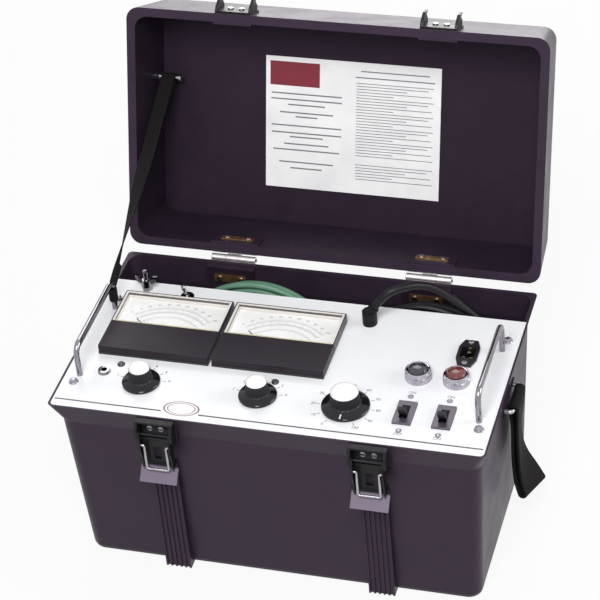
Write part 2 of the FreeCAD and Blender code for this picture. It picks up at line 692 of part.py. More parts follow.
def make_hinges():
    third = "(hinge_length / 3)"
    case_leaves, lid_leaves, pins = [], [], []
    for side, x in sides("hinge_spread"):
        left = f"{x} - hinge_length / 2"
        bore = rod(f"hinge_bore_{side}", "pin_radius + running_gap", "hinge_length + 2",
                   (f"{left} - 1", HINGE_Y, "tub_height"), "+X")
        holes = [rivet_hole(f"leaf_hole_{mark}", (place_x, HINGE_RIVET_Y, HINGE_RIVET_Z), "+Y", HINGE_GRIP)
                 for mark, place_x in hinge_rivet_places() if mark.startswith(side)]
        leaf = box(f"case_leaf_plate_{side}", ("hinge_length", "leaf_thickness", "leaf_height"),
                   (left, "rim_depth / 2", "tub_height - leaf_height - 4"))
        pieces = [leaf]
        for mark, start in (("a", "-hinge_length / 2"), ("b", f"{third} / 2")):
            pieces.append(knuckle(f"case_knuckle_{side}_{mark}", x, start, third))
            pieces.append(box(f"case_bridge_{side}_{mark}", (third, "hinge_offset - 1", "leaf_thickness"),
                              (f"{x} + {start}", "rim_depth / 2", "tub_height - 4 - leaf_thickness / 2")))
            pieces.append(box(f"case_riser_{side}_{mark}", (third, "leaf_thickness", "4"),
                              (f"{x} + {start}", f"{HINGE_Y} - leaf_thickness / 2 - 1", "tub_height - 5")))
        case_leaves.append(cut(f"case_leaf_{side}", fuse(f"case_leaf_whole_{side}", pieces), [bore] + holes))
        pins.append(rod(f"hinge_pin_{side}", "pin_radius", "hinge_length + 2",
                        (f"{left} - 1", HINGE_Y, "tub_height"), "+X"))

        # The lid's leaf, drawn closed about the hinge axis.
        gap = "fit_gap"
        core = f"{third} - 2 * {gap}"
        start = f"{x} - {third} / 2 + {gap}"
        lid_pieces = [
            box(f"lid_leaf_plate_{side}", ("hinge_length", "leaf_thickness", "leaf_height"),
                (left, "-hinge_offset", "4")),
            rod(f"lid_knuckle_{side}", "knuckle_radius", core, (start, "0", "0"), "+X"),
            box(f"lid_bridge_{side}", (core, "hinge_offset - 1", "leaf_thickness"),
                (start, "-hinge_offset", "4 - leaf_thickness / 2")),
            box(f"lid_riser_{side}", (core, "leaf_thickness", "4"),
                (start, "-leaf_thickness / 2 - 1", "1")),
        ]
        lid_bore = rod(f"lid_bore_{side}", "pin_radius + running_gap", "hinge_length", (left, "0", "0"), "+X")
        lid_holes = [lid_hinge_rivet(rivet_hole, f"lid_leaf_hole_{mark}", place_x)
                     for mark, place_x in hinge_rivet_places() if mark.startswith(side)]
        whole = fuse(f"lid_leaf_whole_{side}", lid_pieces)
        lid_leaves.append(cut(f"lid_leaf_{side}", whole, [lid_bore] + lid_holes))
    keep(on_lid(group("hinge_leaves_lid", lid_leaves)))
    for side, x in sides("hinge_spread"):
        blank = box(f"case_backer_blank_{side}", ("backer_length", "backer_thickness", "backer_height"),
                    (f"{x} - backer_length / 2", HINGE_RIVET_Y, f"{HINGE_RIVET_Z} - backer_height / 2"))
        holes = [rivet_hole(f"case_backer_hole_{mark}", (place_x, HINGE_RIVET_Y, HINGE_RIVET_Z),
                            "+Y", HINGE_GRIP)
                 for mark, place_x in hinge_rivet_places() if mark.startswith(side)]
        case_leaves.append(cut(f"case_backer_{side}", blank, holes))
    keep(group("hinge_leaves_case", case_leaves))
    return pins


# The lid, drawn closed about the hinge axis and then swung open

LID_FRONT = "(-hinge_offset - rim_depth)"
LID_BACK = "(-hinge_offset)"


def on_lid(item):
    """Swing a piece that was drawn on the closed lid to the open lid's place."""
    turn = Rotation(Vector(1, 0, 0), -number("lid_open_angle"))
    return place(item, ("0", HINGE_Y, "tub_height"), turn)


def lid_section(body, name, height, inset):
    sketch = new_sketch(body, name, height=height)
    half = f"(lid_width / 2 - ({inset}))"
    front = f"{LID_FRONT} + ({inset})"
    back = f"{LID_BACK} - ({inset})"
    draw_rectangle(sketch, "-" + half, half, front, back, "corner_round")
    return sketch


def lid_hinge_rivet(make, name, x):
    foot = (x, f"{LID_BACK} - land_depth - backer_thickness", "leaf_height / 2 + 4")
    return make(name, foot, "+Y", HINGE_GRIP)


def lid_keeper_rivet(make, name, x):
    foot = (x, f"{LID_FRONT} - bracket_plate", "bracket_height / 2 + 4")
    return make(name, foot, "+Y", "bracket_plate + land_depth + backer_thickness")


STAY_FACE = "(-handle_spread - handle_radius - fit_gap)"


STAY_WALL = "(-lid_width / 2 + lid_lip + (lid_inset + lid_top - lid_lip) * stay_deep / (lid_rise - lid_top))"
STAY_PLACE = ("-stay_along", "lid_gap + stay_deep")


def stay_line():
    """The stay's lower end and the middle of its webbing on the pin, with the lid open."""
    open_lid = Placement(Vector(0, number(HINGE_Y), number("tub_height")),
                         Rotation(Vector(1, 0, 0), -number("lid_open_angle")))
    pin = Vector(number(f"{STAY_WALL} + stay_in"), *(number(text) for text in STAY_PLACE))
    start = Vector(number(f"{STAY_FACE} - stay_thickness / 2"), number("handle_rear"),
                   number(f"{PANEL_TOP} + stay_lift"))
    return start, open_lid.multVec(pin)


def stay_pin_hole():
    return rivet_hole("stay_pin_hole", (f"{STAY_WALL} - 3", *STAY_PLACE), "+X", "4")


def make_stay_pin():
    """Shouldered pin in the lid's left wall, with a head that keeps the webbing on."""
    pieces = [
        rod("stay_pin_shank", "rivet_radius", "5", (f"{STAY_WALL} - 3", *STAY_PLACE), "+X"),
        rod("stay_pin_collar", "stay_pin + 2", "2", (f"{STAY_WALL} + 0.9", *STAY_PLACE), "+X"),
        rod("stay_pin_barrel", "stay_pin", "stay_reach - 3", (f"{STAY_WALL} + 2", *STAY_PLACE), "+X"),
        rod("stay_pin_head", "stay_pin + 1.5", "2", (f"{STAY_WALL} + stay_reach - 2", *STAY_PLACE), "+X"),
    ]
    return fuse("stay_pin_piece", pieces)


def lid_rivet_list(make, ending):
    found = [lid_hinge_rivet(make, f"lid_hinge_{ending}_{mark}", x) for mark, x in hinge_rivet_places()]
    found += [lid_keeper_rivet(make, f"lid_keeper_{ending}_{mark}", x) for mark, x in latch_rivet_places()]
    return found


def make_lid():
    body = doc.addObject("PartDesign::Body", "lid_shell")
    outer = [lid_section(body, "lid_rim", "lid_gap", "0")]
    outer.append(lid_section(body, "lid_wall", "lid_gap + lid_rise - base_round * 0.9", "lid_inset"))
    outer.append(lid_section(body, "lid_turn", "lid_gap + lid_rise - base_round * 0.3",
                             "lid_inset + base_round * 0.17"))
    outer.append(lid_section(body, "lid_crown", "lid_gap + lid_rise", "lid_inset + base_round * 0.6"))
    loft = body.newObject("PartDesign::AdditiveLoft", "lid_outside")
    loft.Profile = outer[0]
    loft.Sections = outer[1:]
    loft.Ruled = True
    doc.recompute()
    inner = [lid_section(body, "lid_mouth", "lid_gap", "lid_lip")]
    inner.append(lid_section(body, "lid_ceiling", "lid_gap + lid_rise - lid_top", "lid_inset + lid_top"))
    hollow = body.newObject("PartDesign::SubtractiveLoft", "lid_inside")
    hollow.Profile = inner[0]
    hollow.Sections = inner[1:]
    hollow.Ruled = True
    doc.recompute()
    additions = [body]
    for side, x in sides("hinge_spread"):
        additions.append(box(f"lid_hinge_land_{side}", ("hinge_length + 4", "land_depth", "leaf_height + 3"),
                             (f"{x} - hinge_length / 2 - 2", f"{LID_BACK} - land_depth", "lid_gap + 1")))
    for side, x in sides("latch_spread"):
        size = ("bracket_width + 2", "land_depth", "bracket_height + 4")
        additions.append(box(f"lid_keeper_land_{side}", size,
                             (f"{x} - bracket_width / 2 - 1", LID_FRONT, "lid_gap + 1")))
    whole = fuse("lid_with_lands", additions)
    holes = lid_rivet_list(rivet_hole, "hole")
    keep(on_lid(cut("case_lid", whole, holes + [stay_pin_hole()])))

    backers = []
    for side, x in sides("hinge_spread"):
        blank = box(f"lid_backer_blank_{side}", ("backer_length", "backer_thickness", "backer_height"),
                    (f"{x} - backer_length / 2", f"{LID_BACK} - land_depth - backer_thickness",
                     "leaf_height / 2 + 4 - backer_height / 2"))
        holes = [lid_hinge_rivet(rivet_hole, f"lid_backer_hole_{mark}", place_x)
                 for mark, place_x in hinge_rivet_places() if mark.startswith(side)]
        backers.append(cut(f"lid_backer_{side}", blank, holes))
    for side, x in sides("latch_spread"):
        blank = box(f"keeper_backer_blank_{side}", ("latch_rivets + 12", "backer_thickness", "backer_height"),
                    (f"{x} - latch_rivets / 2 - 6", f"{LID_FRONT} + land_depth",
                     "bracket_height / 2 + 4 - backer_height / 2"))
        holes = [lid_keeper_rivet(rivet_hole, f"keeper_backer_hole_{mark}", place_x)
                 for mark, place_x in latch_rivet_places() if mark.startswith(side)]
        backers.append(cut(f"keeper_backer_{side}", blank, holes))
    keep(on_lid(group("lid_backers", backers)))
    keep(on_lid(group("lid_rivets", lid_rivet_list(rivet, "rivet") + [make_stay_pin()])))

    card = box("card_sheet", ("card_width", "card_height", "card_thickness"),
               ("-card_width / 2", "-card_along - card_height",
                "lid_gap + lid_rise - lid_top - card_thickness"))
    keep(on_lid(group("instruction_card", [card])))


def make_keepers():
    """Keepers on the lid's front: a plate with two hooked horns that the bail catches."""
    keepers = []
    base = "(lid_gap + 3)"
    for side, x in sides("latch_spread"):
        left = f"{x} - bracket_width / 2"
        pieces = [box(f"keeper_plate_{side}", ("bracket_width", "bracket_plate", "bracket_height"),
                      (left, f"{LID_FRONT} - bracket_plate", base))]
        for mark, start in (("a", left), ("b", f"{x} + bracket_width / 2 - ear_thickness")):
            pieces.append(padded(
                f"keeper_horn_{side}_{mark}",
                [("0", "0"), ("0", "bracket_height"), ("-4", "bracket_height"),
                 ("-ear_reach + 3", "bracket_height - 7"), ("-ear_reach", "bracket_height"),
                 ("-ear_reach", "bracket_height / 2"), ("-5", "2")],
                "ear_thickness", "YZ_Plane", foot=(start, f"{LID_FRONT} - bracket_plate / 2", base)))
        holes = [lid_keeper_rivet(rivet_hole, f"keeper_hole_{mark}", place_x)
                 for mark, place_x in latch_rivet_places() if mark.startswith(side)]
        keepers.append(cut(f"keeper_{side}", fuse(f"keeper_whole_{side}", pieces), holes))
    keep(on_lid(group("lid_keepers", keepers)))


# Latches on the tub's front

LATCH_FACE = "(-rim_depth / 2)"
PIVOT_Y = "(-rim_depth / 2 - pivot_reach)"
PIVOT_Z = "(tub_height - bracket_top - pivot_drop)"
EAR_INSIDE = "(bracket_width / 2 - ear_thickness)"


def make_latches(hinge_pins):
    brackets, pins = [], list(hinge_pins)
    for side, x in sides("latch_spread"):
        left = f"{x} - bracket_width / 2"
        bottom = "tub_height - bracket_top - bracket_height"
        pieces = [
            box(f"bracket_plate_{side}", ("bracket_width", "bracket_plate", "bracket_height"),
                (left, f"{LATCH_FACE} - bracket_plate", bottom)),
            box(f"bracket_lip_{side}", ("bracket_width", "pivot_reach", "bracket_plate"),
                (left, f"{LATCH_FACE} - pivot_reach", "tub_height - bracket_top - bracket_plate")),
        ]
        for mark, start in (("a", left), ("b", f"{x} + {EAR_INSIDE}")):
            pieces.append(padded(
                f"bracket_ear_{side}_{mark}",
                [("0", "0"), ("0", "-pivot_drop - 8"), ("-ear_reach", "-pivot_drop - 5"),
                 ("-ear_reach", "-pivot_drop + 5"), ("-pivot_reach", "0")],
                "ear_thickness", "YZ_Plane", foot=(start, LATCH_FACE, "tub_height - bracket_top")))
        bore = rod(f"bracket_bore_{side}", "pin_radius + running_gap", "bracket_width + 2",
                   (f"{left} - 1", PIVOT_Y, PIVOT_Z), "+X")
        holes = [rivet_hole(f"bracket_hole_{mark}", (place_x, LATCH_RIVET_Y, LATCH_RIVET_Z), "+Y", LATCH_GRIP)
                 for mark, place_x in latch_rivet_places() if mark.startswith(side)]
        brackets.append(cut(f"bracket_{side}", fuse(f"bracket_whole_{side}", pieces), [bore] + holes))
        pins.append(rod(f"latch_pin_{side}", "pin_radius", "bracket_width + 2",
                        (f"{left} - 1", PIVOT_Y, PIVOT_Z), "+X"))
    keep(group("latch_brackets", brackets))
    keep(group("pivot_pins", pins))
    for side, x in sides("latch_spread"):
        make_lever(side, x)
        make_bail(side, x)


def make_lever(side, x):
    """A channel that opens to the front, with a flared finger lip at its foot."""
    half = f"({EAR_INSIDE} - fit_gap)"
    foot = (f"{x} - {half}", PIVOT_Y, PIVOT_Z)
    cheek = [("4", "3.5"), ("2", "5"), ("-4", "5"), ("-6", "-bail_drop + 5"), ("-6", "-bail_drop - 6"),
             ("-3", "-bail_drop - 18"), ("-2", "-lever_length"), ("4", "-lever_length")]
    pieces = [
        padded(f"lever_cheek_{side}_a", cheek, "lever_sheet", "YZ_Plane", foot=foot),
        padded(f"lever_cheek_{side}_b", cheek, "lever_sheet", "YZ_Plane",
               foot=(f"{x} + {half} - lever_sheet", PIVOT_Y, PIVOT_Z)),
        box(f"lever_web_{side}", (f"2 * {half}", "lever_sheet", "lever_length - 6"),
            (f"{x} - {half}", f"{PIVOT_Y} + 4 - lever_sheet", f"{PIVOT_Z} - lever_length")),
        padded(f"lever_lip_{side}",
               [("4", "-lever_length + 8"), ("4 - lever_sheet", "-lever_length + 8"),
                ("4 - lever_sheet", "-lever_length"), ("4 - lip_reach", "-lever_length - lip_drop"),
                ("4 - lip_reach + lever_sheet", "-lever_length - lip_drop - lever_sheet"),
                ("4", "-lever_length - lever_sheet")],
               "lip_width", "YZ_Plane", foot=(f"{x} - lip_width / 2", PIVOT_Y, PIVOT_Z)),
    ]
    tools = [
        rod(f"lever_bore_{side}", "pin_radius + running_gap", "bracket_width",
            (f"{x} - bracket_width / 2", PIVOT_Y, PIVOT_Z), "+X"),
        rod(f"lever_bail_bore_{side}", "bail_radius + running_gap", "bracket_width",
            (f"{x} - bracket_width / 2", f"{PIVOT_Y} - 3", f"{PIVOT_Z} - bail_drop"), "+X"),
        box(f"lever_slot_{side}", ("8", "10", "16"), (f"{x} - 4", PIVOT_Y, f"{PIVOT_Z} - 34")),
    ]
    keep(cut(f"latch_lever_{side}", fuse(f"lever_whole_{side}", pieces), tools))


def make_bail(side, x):
    """A wire bail whose ends turn out into the lever's cheeks."""
    end = number(f"{EAR_INSIDE} - fit_gap")
    leg = end - number("lever_sheet + bail_radius + fit_gap") - 1.5
    fall = number("bail_length")
    points = [Vector(-end, 0, 0), Vector(-leg, 0, 0), Vector(-leg, 0, -fall),
              Vector(leg, 0, -fall), Vector(leg, 0, 0), Vector(end, 0, 0)]
    path = rounded_path(points, number("bail_radius") * 1.3)
    middle = Vector(number(x), number(f"{PIVOT_Y} - 3"), number(f"{PIVOT_Z} - bail_drop"))
    keep(shaped(f"latch_bail_{side}", round_bar(path, number("bail_radius")), Placement(middle, Rotation())))


# Carrying loops on the side walls

def belt_wire(top, top_radius, low, low_radius):
    """Outline of a belt round two circles in the XZ plane."""
    line = low - top
    span = line.Length
    heading = math.atan2(line.z, line.x)
    lead = math.acos((top_radius - low_radius) / span)

    def rim(center, radius, angle):
        return center + Vector(math.cos(angle), 0, math.sin(angle)) * radius

    a_top = rim(top, top_radius, heading + lead)
    a_low = rim(low, low_radius, heading + lead)
    b_top = rim(top, top_radius, heading - lead)
    b_low = rim(low, low_radius, heading - lead)
    return Part.Wire([
        Part.LineSegment(a_top, a_low).toShape(),
        Part.Arc(a_low, rim(low, low_radius, heading), b_low).toShape(),
        Part.LineSegment(b_low, b_top).toShape(),
        Part.Arc(b_top, rim(top, top_radius, heading + math.pi), a_top).toShape(),
    ])


def make_carrying_loops():
    bars = []
    half = number(BAR_HALF)
    for side, sign in (("left", -1), ("right", 1)):
        face = sign * number(SIDE_FACE)
        bar = sign * number(BAR_X)
        height = number(BAR_Z)
        middle = number("strap_center")
        points = [Vector(face, middle - half, height), Vector(bar, middle - half, height),
                  Vector(bar, middle + half, height), Vector(face, middle + half, height)]
        path = rounded_path(points, number("bar_radius") + 1)
        bars.append(shaped(f"strap_bar_{side}", round_bar(path, number("bar_radius"))))

        eye = number("bar_radius + fit_gap")
        band = number("strap_thickness")
        bend = number("strap_bend")
        top = Vector(bar, 0, height)
        low = top + Vector(sign * number("strap_lean"), 0, -number("strap_fall"))
        outside = Part.Face(belt_wire(top, eye + band, low, bend))
        inside = Part.Face(belt_wire(top, eye, low, bend - band))
        loop = outside.cut(inside).extrude(Vector(0, number("strap_width"), 0))
        shift = Placement(Vector(0, number("strap_center - strap_width / 2"), 0), Rotation())
        keep(shaped(f"carrying_loop_{side}", loop.Solids[0], shift))
    keep(group("strap_bars", bars))


# Front panel

def panel_screw_places():
    for side, x in sides("screw_spread"):
        for mark, y in (("front", "screw_front"), ("rear", "screw_rear")):
            yield f"{side}_{mark}", x, y


def panel_screw_rods(name, radius, length):
    """Rods at the panel screws, hanging from the panel's face."""
    return [rod(f"{name}_{mark}", f"{radius} + running_gap", length, (x, y, f"{PANEL_TOP} - {length}"))
            for mark, x, y in panel_screw_places()]


def panel_hole(name, x, y, radius):
    return rod(name, f"{radius} + running_gap", "panel_thickness + 2", (x, y, f"{PANEL_UNDER} - 1"))


def panel_window(name, x, y, width, depth):
    size = (f"{width} + 2 * fit_gap", f"{depth} + 2 * fit_gap", "panel_thickness + 2")
    corner = (f"{x} - {width} / 2 - fit_gap", f"{y} - {depth} / 2 - fit_gap", f"{PANEL_UNDER} - 1")
    return box(name, size, corner)


def handle_feet():
    for side, x in sides("handle_spread"):
        for mark, y in (("front", "handle_front"), ("rear", "handle_rear")):
            yield f"{side}_{mark}", x, y


def breaker_screw_places():
    for side, x in (("left", "breaker_left"), ("right", "breaker_right")):
        for mark, step in (("front", "-1"), ("rear", "1")):
            yield f"{side}_{mark}", x, f"breaker_row + {step} * breaker_screws / 2"


def inlet_screw_places():
    for mark, step in (("front", "-1"), ("rear", "1")):
        yield mark, "inlet_x", f"inlet_y + {step} * inlet_screws / 2"


KNOBS = (
    ("multiplier", "multiplier_place", "small_skirt", "small_grip"),
    ("range", "range_place", "small_skirt", "small_grip"),
    ("output", "output_place", "large_skirt", "large_grip"),
)
METERS = (("left", "meter_left"), ("right", "meter_right"))
METER_FRONT = "(meter_middle - meter_depth / 2)"
COVER_EDGE = f"({METER_FRONT} + cover_depth)"
NEEDLE_Y = f"({COVER_EDGE} - needle_pivot)"
HOUSING_Y = f"({NEEDLE_Y} + housing_shift)"
LAMPS = (("left", "lamp_left"), ("right", "lamp_right"))
BREAKERS = (("left", "breaker_left"), ("right", "breaker_right"))
SMALL_SCREW = "(screw_radius * 0.75)"


def make_panel():
    sheet_plate = plate(
        "panel_sheet", "-(rim_width / 2 - panel_lip - fit_gap)", "rim_width / 2 - panel_lip - fit_gap",
        "-(rim_depth / 2 - panel_lip - fit_gap)", "panel_back", "rim_corner - fit_gap",
        PANEL_UNDER, "panel_thickness", (True, False, False, True),
    )
    tools = [panel_hole(f"screw_hole_{mark}", x, y, "screw_radius") for mark, x, y in panel_screw_places()]
    tools += [panel_hole(f"handle_hole_{mark}", x, y, "handle_radius") for mark, x, y in handle_feet()]
    tools += [panel_hole(f"meter_hole_{side}", x, HOUSING_Y, "housing_radius") for side, x in METERS]
    tools += [panel_hole(f"knob_hole_{name}", x, "knob_row", "bushing_radius") for name, x, *_ in KNOBS]
    tools += [panel_hole(f"lamp_hole_{side}", x, "lamp_row", "lamp_neck") for side, x in LAMPS]
    tools += [panel_window(f"breaker_window_{side}", x, "breaker_row", "breaker_width", "breaker_depth")
              for side, x in BREAKERS]
    tools += [panel_hole(f"breaker_screw_hole_{mark}", x, y, SMALL_SCREW)
              for mark, x, y in breaker_screw_places()]
    tools += [panel_hole(f"inlet_screw_hole_{mark}", x, y, SMALL_SCREW)
              for mark, x, y in inlet_screw_places()]
    tools += [panel_window("inlet_window", "inlet_x", "inlet_y", "(inlet_width - 4)", "(inlet_length - 20)")]
    tools += [panel_hole("terminal_hole", "terminal_x", "terminal_y", "stud_radius"),
              panel_hole("toggle_hole", "toggle_x", "toggle_y", "bushing_radius"),
              panel_hole("jack_hole", "jack_x", "jack_y", "bushing_radius"),
              panel_hole("gland_hole", "gland_x", "gland_y", "bushing_radius")]
    tools += [panel_hole(f"plug_hole_{side}", x, "plug_row", "plug_radius / 2")
              for side, x in (("left", "plug_left"), ("right", "plug_right"))]
    keep(cut("front_panel", sheet_plate, tools))


def screw(name, x, y, seat, radius, head, length):
    """A pan-head screw standing in a hole, its head on the seat."""
    points = [("0", f"-({length})"), (radius, f"-({length})"), (radius, "0"), (head, "0"),
              (head, f"{head} * 0.3"), (f"{head} * 0.5", f"{head} * 0.55"), ("0", f"{head} * 0.55")]
    return turned(name, points, (x, y, seat))


def make_panel_hardware():
    washers = []
    for mark, x, y in panel_screw_places():
        points = [("screw_radius + running_gap", "0"), ("washer_radius", "0"),
                  ("washer_radius - 1", "washer_height"), ("screw_radius + running_gap", "washer_height")]
        washers.append(turned(f"cup_washer_{mark}", points, (x, y, PANEL_TOP)))
    seat = f"{PANEL_TOP} + washer_height"
    grip = "screw_length + washer_height - 1"
    screws = washers + [screw(f"panel_screw_{mark}", x, y, seat, "screw_radius", "screw_head", grip)
                        for mark, x, y in panel_screw_places()]
    small_head = "screw_head * 0.75"
    grip = "screw_length - 4"
    screws += [screw(f"breaker_screw_{mark}", x, y, PANEL_TOP, SMALL_SCREW, small_head, grip)
               for mark, x, y in breaker_screw_places()]
    seat = f"{PANEL_TOP} + inlet_flange"
    grip = "inlet_flange + panel_thickness + 2"
    screws += [screw(f"inlet_screw_{mark}", x, y, seat, SMALL_SCREW, small_head, grip)
               for mark, x, y in inlet_screw_places()]
    keep(group("panel_screws", screws))

    handles = []
    for side, x in sides("handle_spread"):
        low = number(f"{PANEL_UNDER} - handle_nut - 1")
        high = number(f"{PANEL_TOP} + handle_height")
        front, rear = number("handle_front"), number("handle_rear")
        middle = number(x)
        points = [Vector(middle, front, low), Vector(middle, front, high),
                  Vector(middle, rear, high), Vector(middle, rear, low)]
        path = rounded_path(points, number("handle_bend"))
        handles.append(shaped(f"panel_handle_{side}", round_bar(path, number("handle_radius"))))
    for mark, x, y in handle_feet():
        points = [("handle_radius + running_gap", "0"), ("handle_radius + 3", "0"),
                  ("handle_radius + 3", "handle_nut"), ("handle_radius + running_gap", "handle_nut")]
        handles.append(turned(f"handle_nut_{mark}", points, (x, y, f"{PANEL_UNDER} - handle_nut")))
    keep(group("panel_handles", handles))


# Meters

def make_meters():
    cases, covers, windows, dials, movements = [], [], [], [], []
    back = "(meter_middle + meter_depth / 2)"
    front = METER_FRONT
    edge = COVER_EDGE
    pivot_y = NEEDLE_Y
    base_top = f"({PANEL_TOP} + meter_base)"
    for side, x in METERS:
        left = f"({x} - meter_width / 2)"
        pivot_hole = rod(f"needle_hole_{side}", "needle_width * 2", "housing_depth",
                         (x, pivot_y, f"{base_top} + 1 - housing_depth"))
        housing = turned(f"meter_housing_{side}", [
            ("0", "-housing_depth"), ("housing_radius", "-housing_depth"), ("housing_radius", "1"),
            ("housing_radius - housing_wall", "1"),
            ("housing_radius - housing_wall", "housing_wall - housing_depth"),
            ("0", "housing_wall - housing_depth")], (x, HOUSING_Y, PANEL_TOP))
        base = box(f"meter_base_{side}", ("meter_width", "meter_depth", "meter_base"),
                   (left, front, PANEL_TOP))
        rise = "meter_height - meter_base"
        side_wall = ("frame_wall", "meter_depth - cover_depth", rise)
        walls = [
            box(f"meter_wall_left_{side}", side_wall, (left, edge, base_top)),
            box(f"meter_wall_right_{side}", side_wall,
                (f"{left} + meter_width - frame_wall", edge, base_top)),
            box(f"meter_wall_back_{side}", ("meter_width", "frame_wall", rise),
                (left, f"{back} - frame_wall", base_top)),
        ]
        whole = fuse(f"meter_case_whole_{side}", [housing, base] + walls)
        cases.append(cut(f"meter_case_{side}", whole, [pivot_hole]))

        block = box(f"cover_block_{side}", ("meter_width", "cover_depth", rise), (left, front, base_top))
        room = box(f"cover_room_{side}",
                   ("meter_width - 2 * frame_wall", "cover_depth", "meter_height - meter_base - 2"),
                   (f"{left} + frame_wall", f"{front} + frame_wall", base_top))
        covers.append(cut(f"meter_cover_{side}", block, [room]))
        inner_width = "meter_width - 2 * frame_wall - 2 * fit_gap"
        inner_left = f"{left} + frame_wall + fit_gap"
        inner_depth = "meter_depth - cover_depth - frame_wall - fit_gap"
        windows.append(box(f"meter_window_{side}", (inner_width, inner_depth, "window_thickness"),
                           (inner_left, edge, f"{PANEL_TOP} + meter_height - window_thickness")))
        blank = box(f"meter_dial_blank_{side}",
                    (inner_width, "meter_depth - 2 * frame_wall - 2 * fit_gap", "dial_thickness"),
                    (inner_left, f"{front} + frame_wall + fit_gap", base_top))
        dial_hole = rod(f"dial_hole_{side}", "needle_width * 2", "4", (x, pivot_y, PANEL_TOP))
        dials.append(cut(f"meter_dial_{side}", blank, [dial_hole]))
        movement_top = f"{PANEL_TOP} + housing_wall - housing_depth + movement_height"
        drum = rod(f"movement_drum_{side}", "movement_radius", "movement_height",
                   (x, pivot_y, f"{PANEL_TOP} + housing_wall - housing_depth"))
        socket = rod(f"movement_socket_{side}", "needle_width + running_gap", "6",
                     (x, pivot_y, f"{movement_top} - 5"))
        movements.append(cut(f"movement_{side}", drum, [socket]))
        make_needle(side, x, pivot_y, movement_top)
    keep(group("meter_cases", cases))
    keep(group("meter_covers", covers))
    keep(group("meter_windows", windows))
    keep(group("meter_dials", dials))
    keep(group("meter_movements", movements))


def make_needle(side, x, pivot_y, movement_top):
    """Pointer, hub and staff, drawn straight back and turned to the left end of the scale."""
    lift = f"({PANEL_TOP} + needle_lift)"
    staff_foot = f"{movement_top} - 4"
    pointer = box(f"needle_pointer_{side}", ("needle_width", "needle_length", "needle_width * 0.7"),
                  ("-needle_width / 2", "0", lift))
    hub = rod(f"needle_hub_{side}", "needle_width * 3", "needle_width", ("0", "0", lift))
    staff = rod(f"needle_staff_{side}", "needle_width", f"{lift} - ({staff_foot})", ("0", "0", staff_foot))
    needle = fuse(f"meter_needle_{side}", [pointer, hub, staff])
    keep(place(needle, (x, pivot_y, "0"), Rotation(Vector(0, 0, 1), number("needle_rest"))))


# Knobs and what they turn

def make_knobs():
    switches = []
    for name, x, skirt, grip in KNOBS:
        foot = f"{PANEL_TOP} + knob_lift"
        bore = "(shaft_radius + running_gap)"
        knob = turned(f"{name}_grip", [
            (bore, "0"), (skirt, "0"), (f"{skirt} - 1", "skirt_height"), (f"{grip} + 1", "skirt_height + 1"),
            (f"{grip} - knob_taper", "knob_height"), (f"{grip} - knob_taper - 2", "knob_height"),
            (f"{grip} - knob_taper - 2", "knob_height - cap_height / 2"),
            ("0", "knob_height - cap_height / 2"),
            ("0", "shaft_grip"), (bore, "shaft_grip")], (x, "knob_row", foot))
        cap = rod(f"{name}_cap", f"{grip} - knob_taper - 2 - running_gap", "cap_height",
                  (x, "knob_row", f"{foot} + knob_height - cap_height / 2"))
        shaft = rod(f"{name}_shaft", "shaft_radius",
                    "shaft_length + panel_thickness + knob_lift + shaft_grip - 1",
                    (x, "knob_row", f"{PANEL_UNDER} - shaft_length"))
        keep(group(f"{name}_knob", [knob, cap, shaft]))
        if name == "output":
            continue
        switches.append(rotary_body(f"rotary_switch_{name}", x, "switch_radius", "switch_depth"))
    keep(group("rotary_switches", switches))
    variac = rotary_body("variac_core", "output_place", "variac_radius", "variac_depth")
    keep(group("variable_transformer", [variac]))


def rotary_body(name, x, radius, depth):
    """A body under the panel with a bushing through it and a bore for the shaft."""
    bore = "(shaft_radius + running_gap)"
    return turned(name, [
        (bore, "panel_thickness"), ("bushing_radius", "panel_thickness"), ("bushing_radius", "0"),
        (radius, "0"), (radius, f"-{depth}"), (bore, f"-{depth}")], (x, "knob_row", PANEL_UNDER))


# Terminal, toggle, jack and plugs

def nut_blank(name, x, y, bottom, bore):
    """A hexagon nut round a stud."""
    corners = [(f"nut_radius * {math.cos(math.radians(60 * k)):.6f}",
                f"nut_radius * {math.sin(math.radians(60 * k)):.6f}") for k in range(6)]
    blank = padded(name + "_blank", corners, "nut_height", foot=(x, y, bottom))
    hole = rod(name + "_hole", f"{bore} + running_gap", "nut_height + 2", (x, y, f"{bottom} - 1"))
    return cut(name, blank, [hole])


def make_terminal():
    stud = rod("earth_stud", "stud_radius", "stud_height + panel_thickness + 12",
               ("terminal_x", "terminal_y", f"{PANEL_UNDER} - 12"))
    upper = nut_blank("earth_nut_upper", "terminal_x", "terminal_y", PANEL_TOP, "stud_radius")
    under = f"{PANEL_UNDER} - nut_height"
    lower = nut_blank("earth_nut_lower", "terminal_x", "terminal_y", under, "stud_radius")
    keep(group("earth_terminal", [stud, upper, lower]))

    seat = f"{PANEL_TOP} + nut_height + fit_gap"
    hub = turned("wing_hub", [
        ("stud_radius + running_gap", "0"), ("nut_radius", "0"), ("nut_radius - 1.5", "wing_height * 0.6"),
        ("stud_radius + running_gap", "wing_height * 0.6")], ("terminal_x", "terminal_y", seat))
    wings = []
    for mark, sign in (("a", "-1"), ("b", "1")):
        near = f"{sign} * (stud_radius + 1)"
        tip = f"{sign} * wing_span"
        outline = [(near, "wing_height * 0.1"), (f"{tip} * 0.8", "wing_height * 0.35"),
                   (tip, "wing_height"), (f"{tip} * 0.6", "wing_height * 0.95"),
                   (near, "wing_height * 0.5")]
        wings.append(padded(f"wing_{mark}", outline, "2.4", "XZ_Plane",
                            foot=("terminal_x", "terminal_y + 1.2", seat)))
    keep(fuse("wing_nut", [hub] + wings))


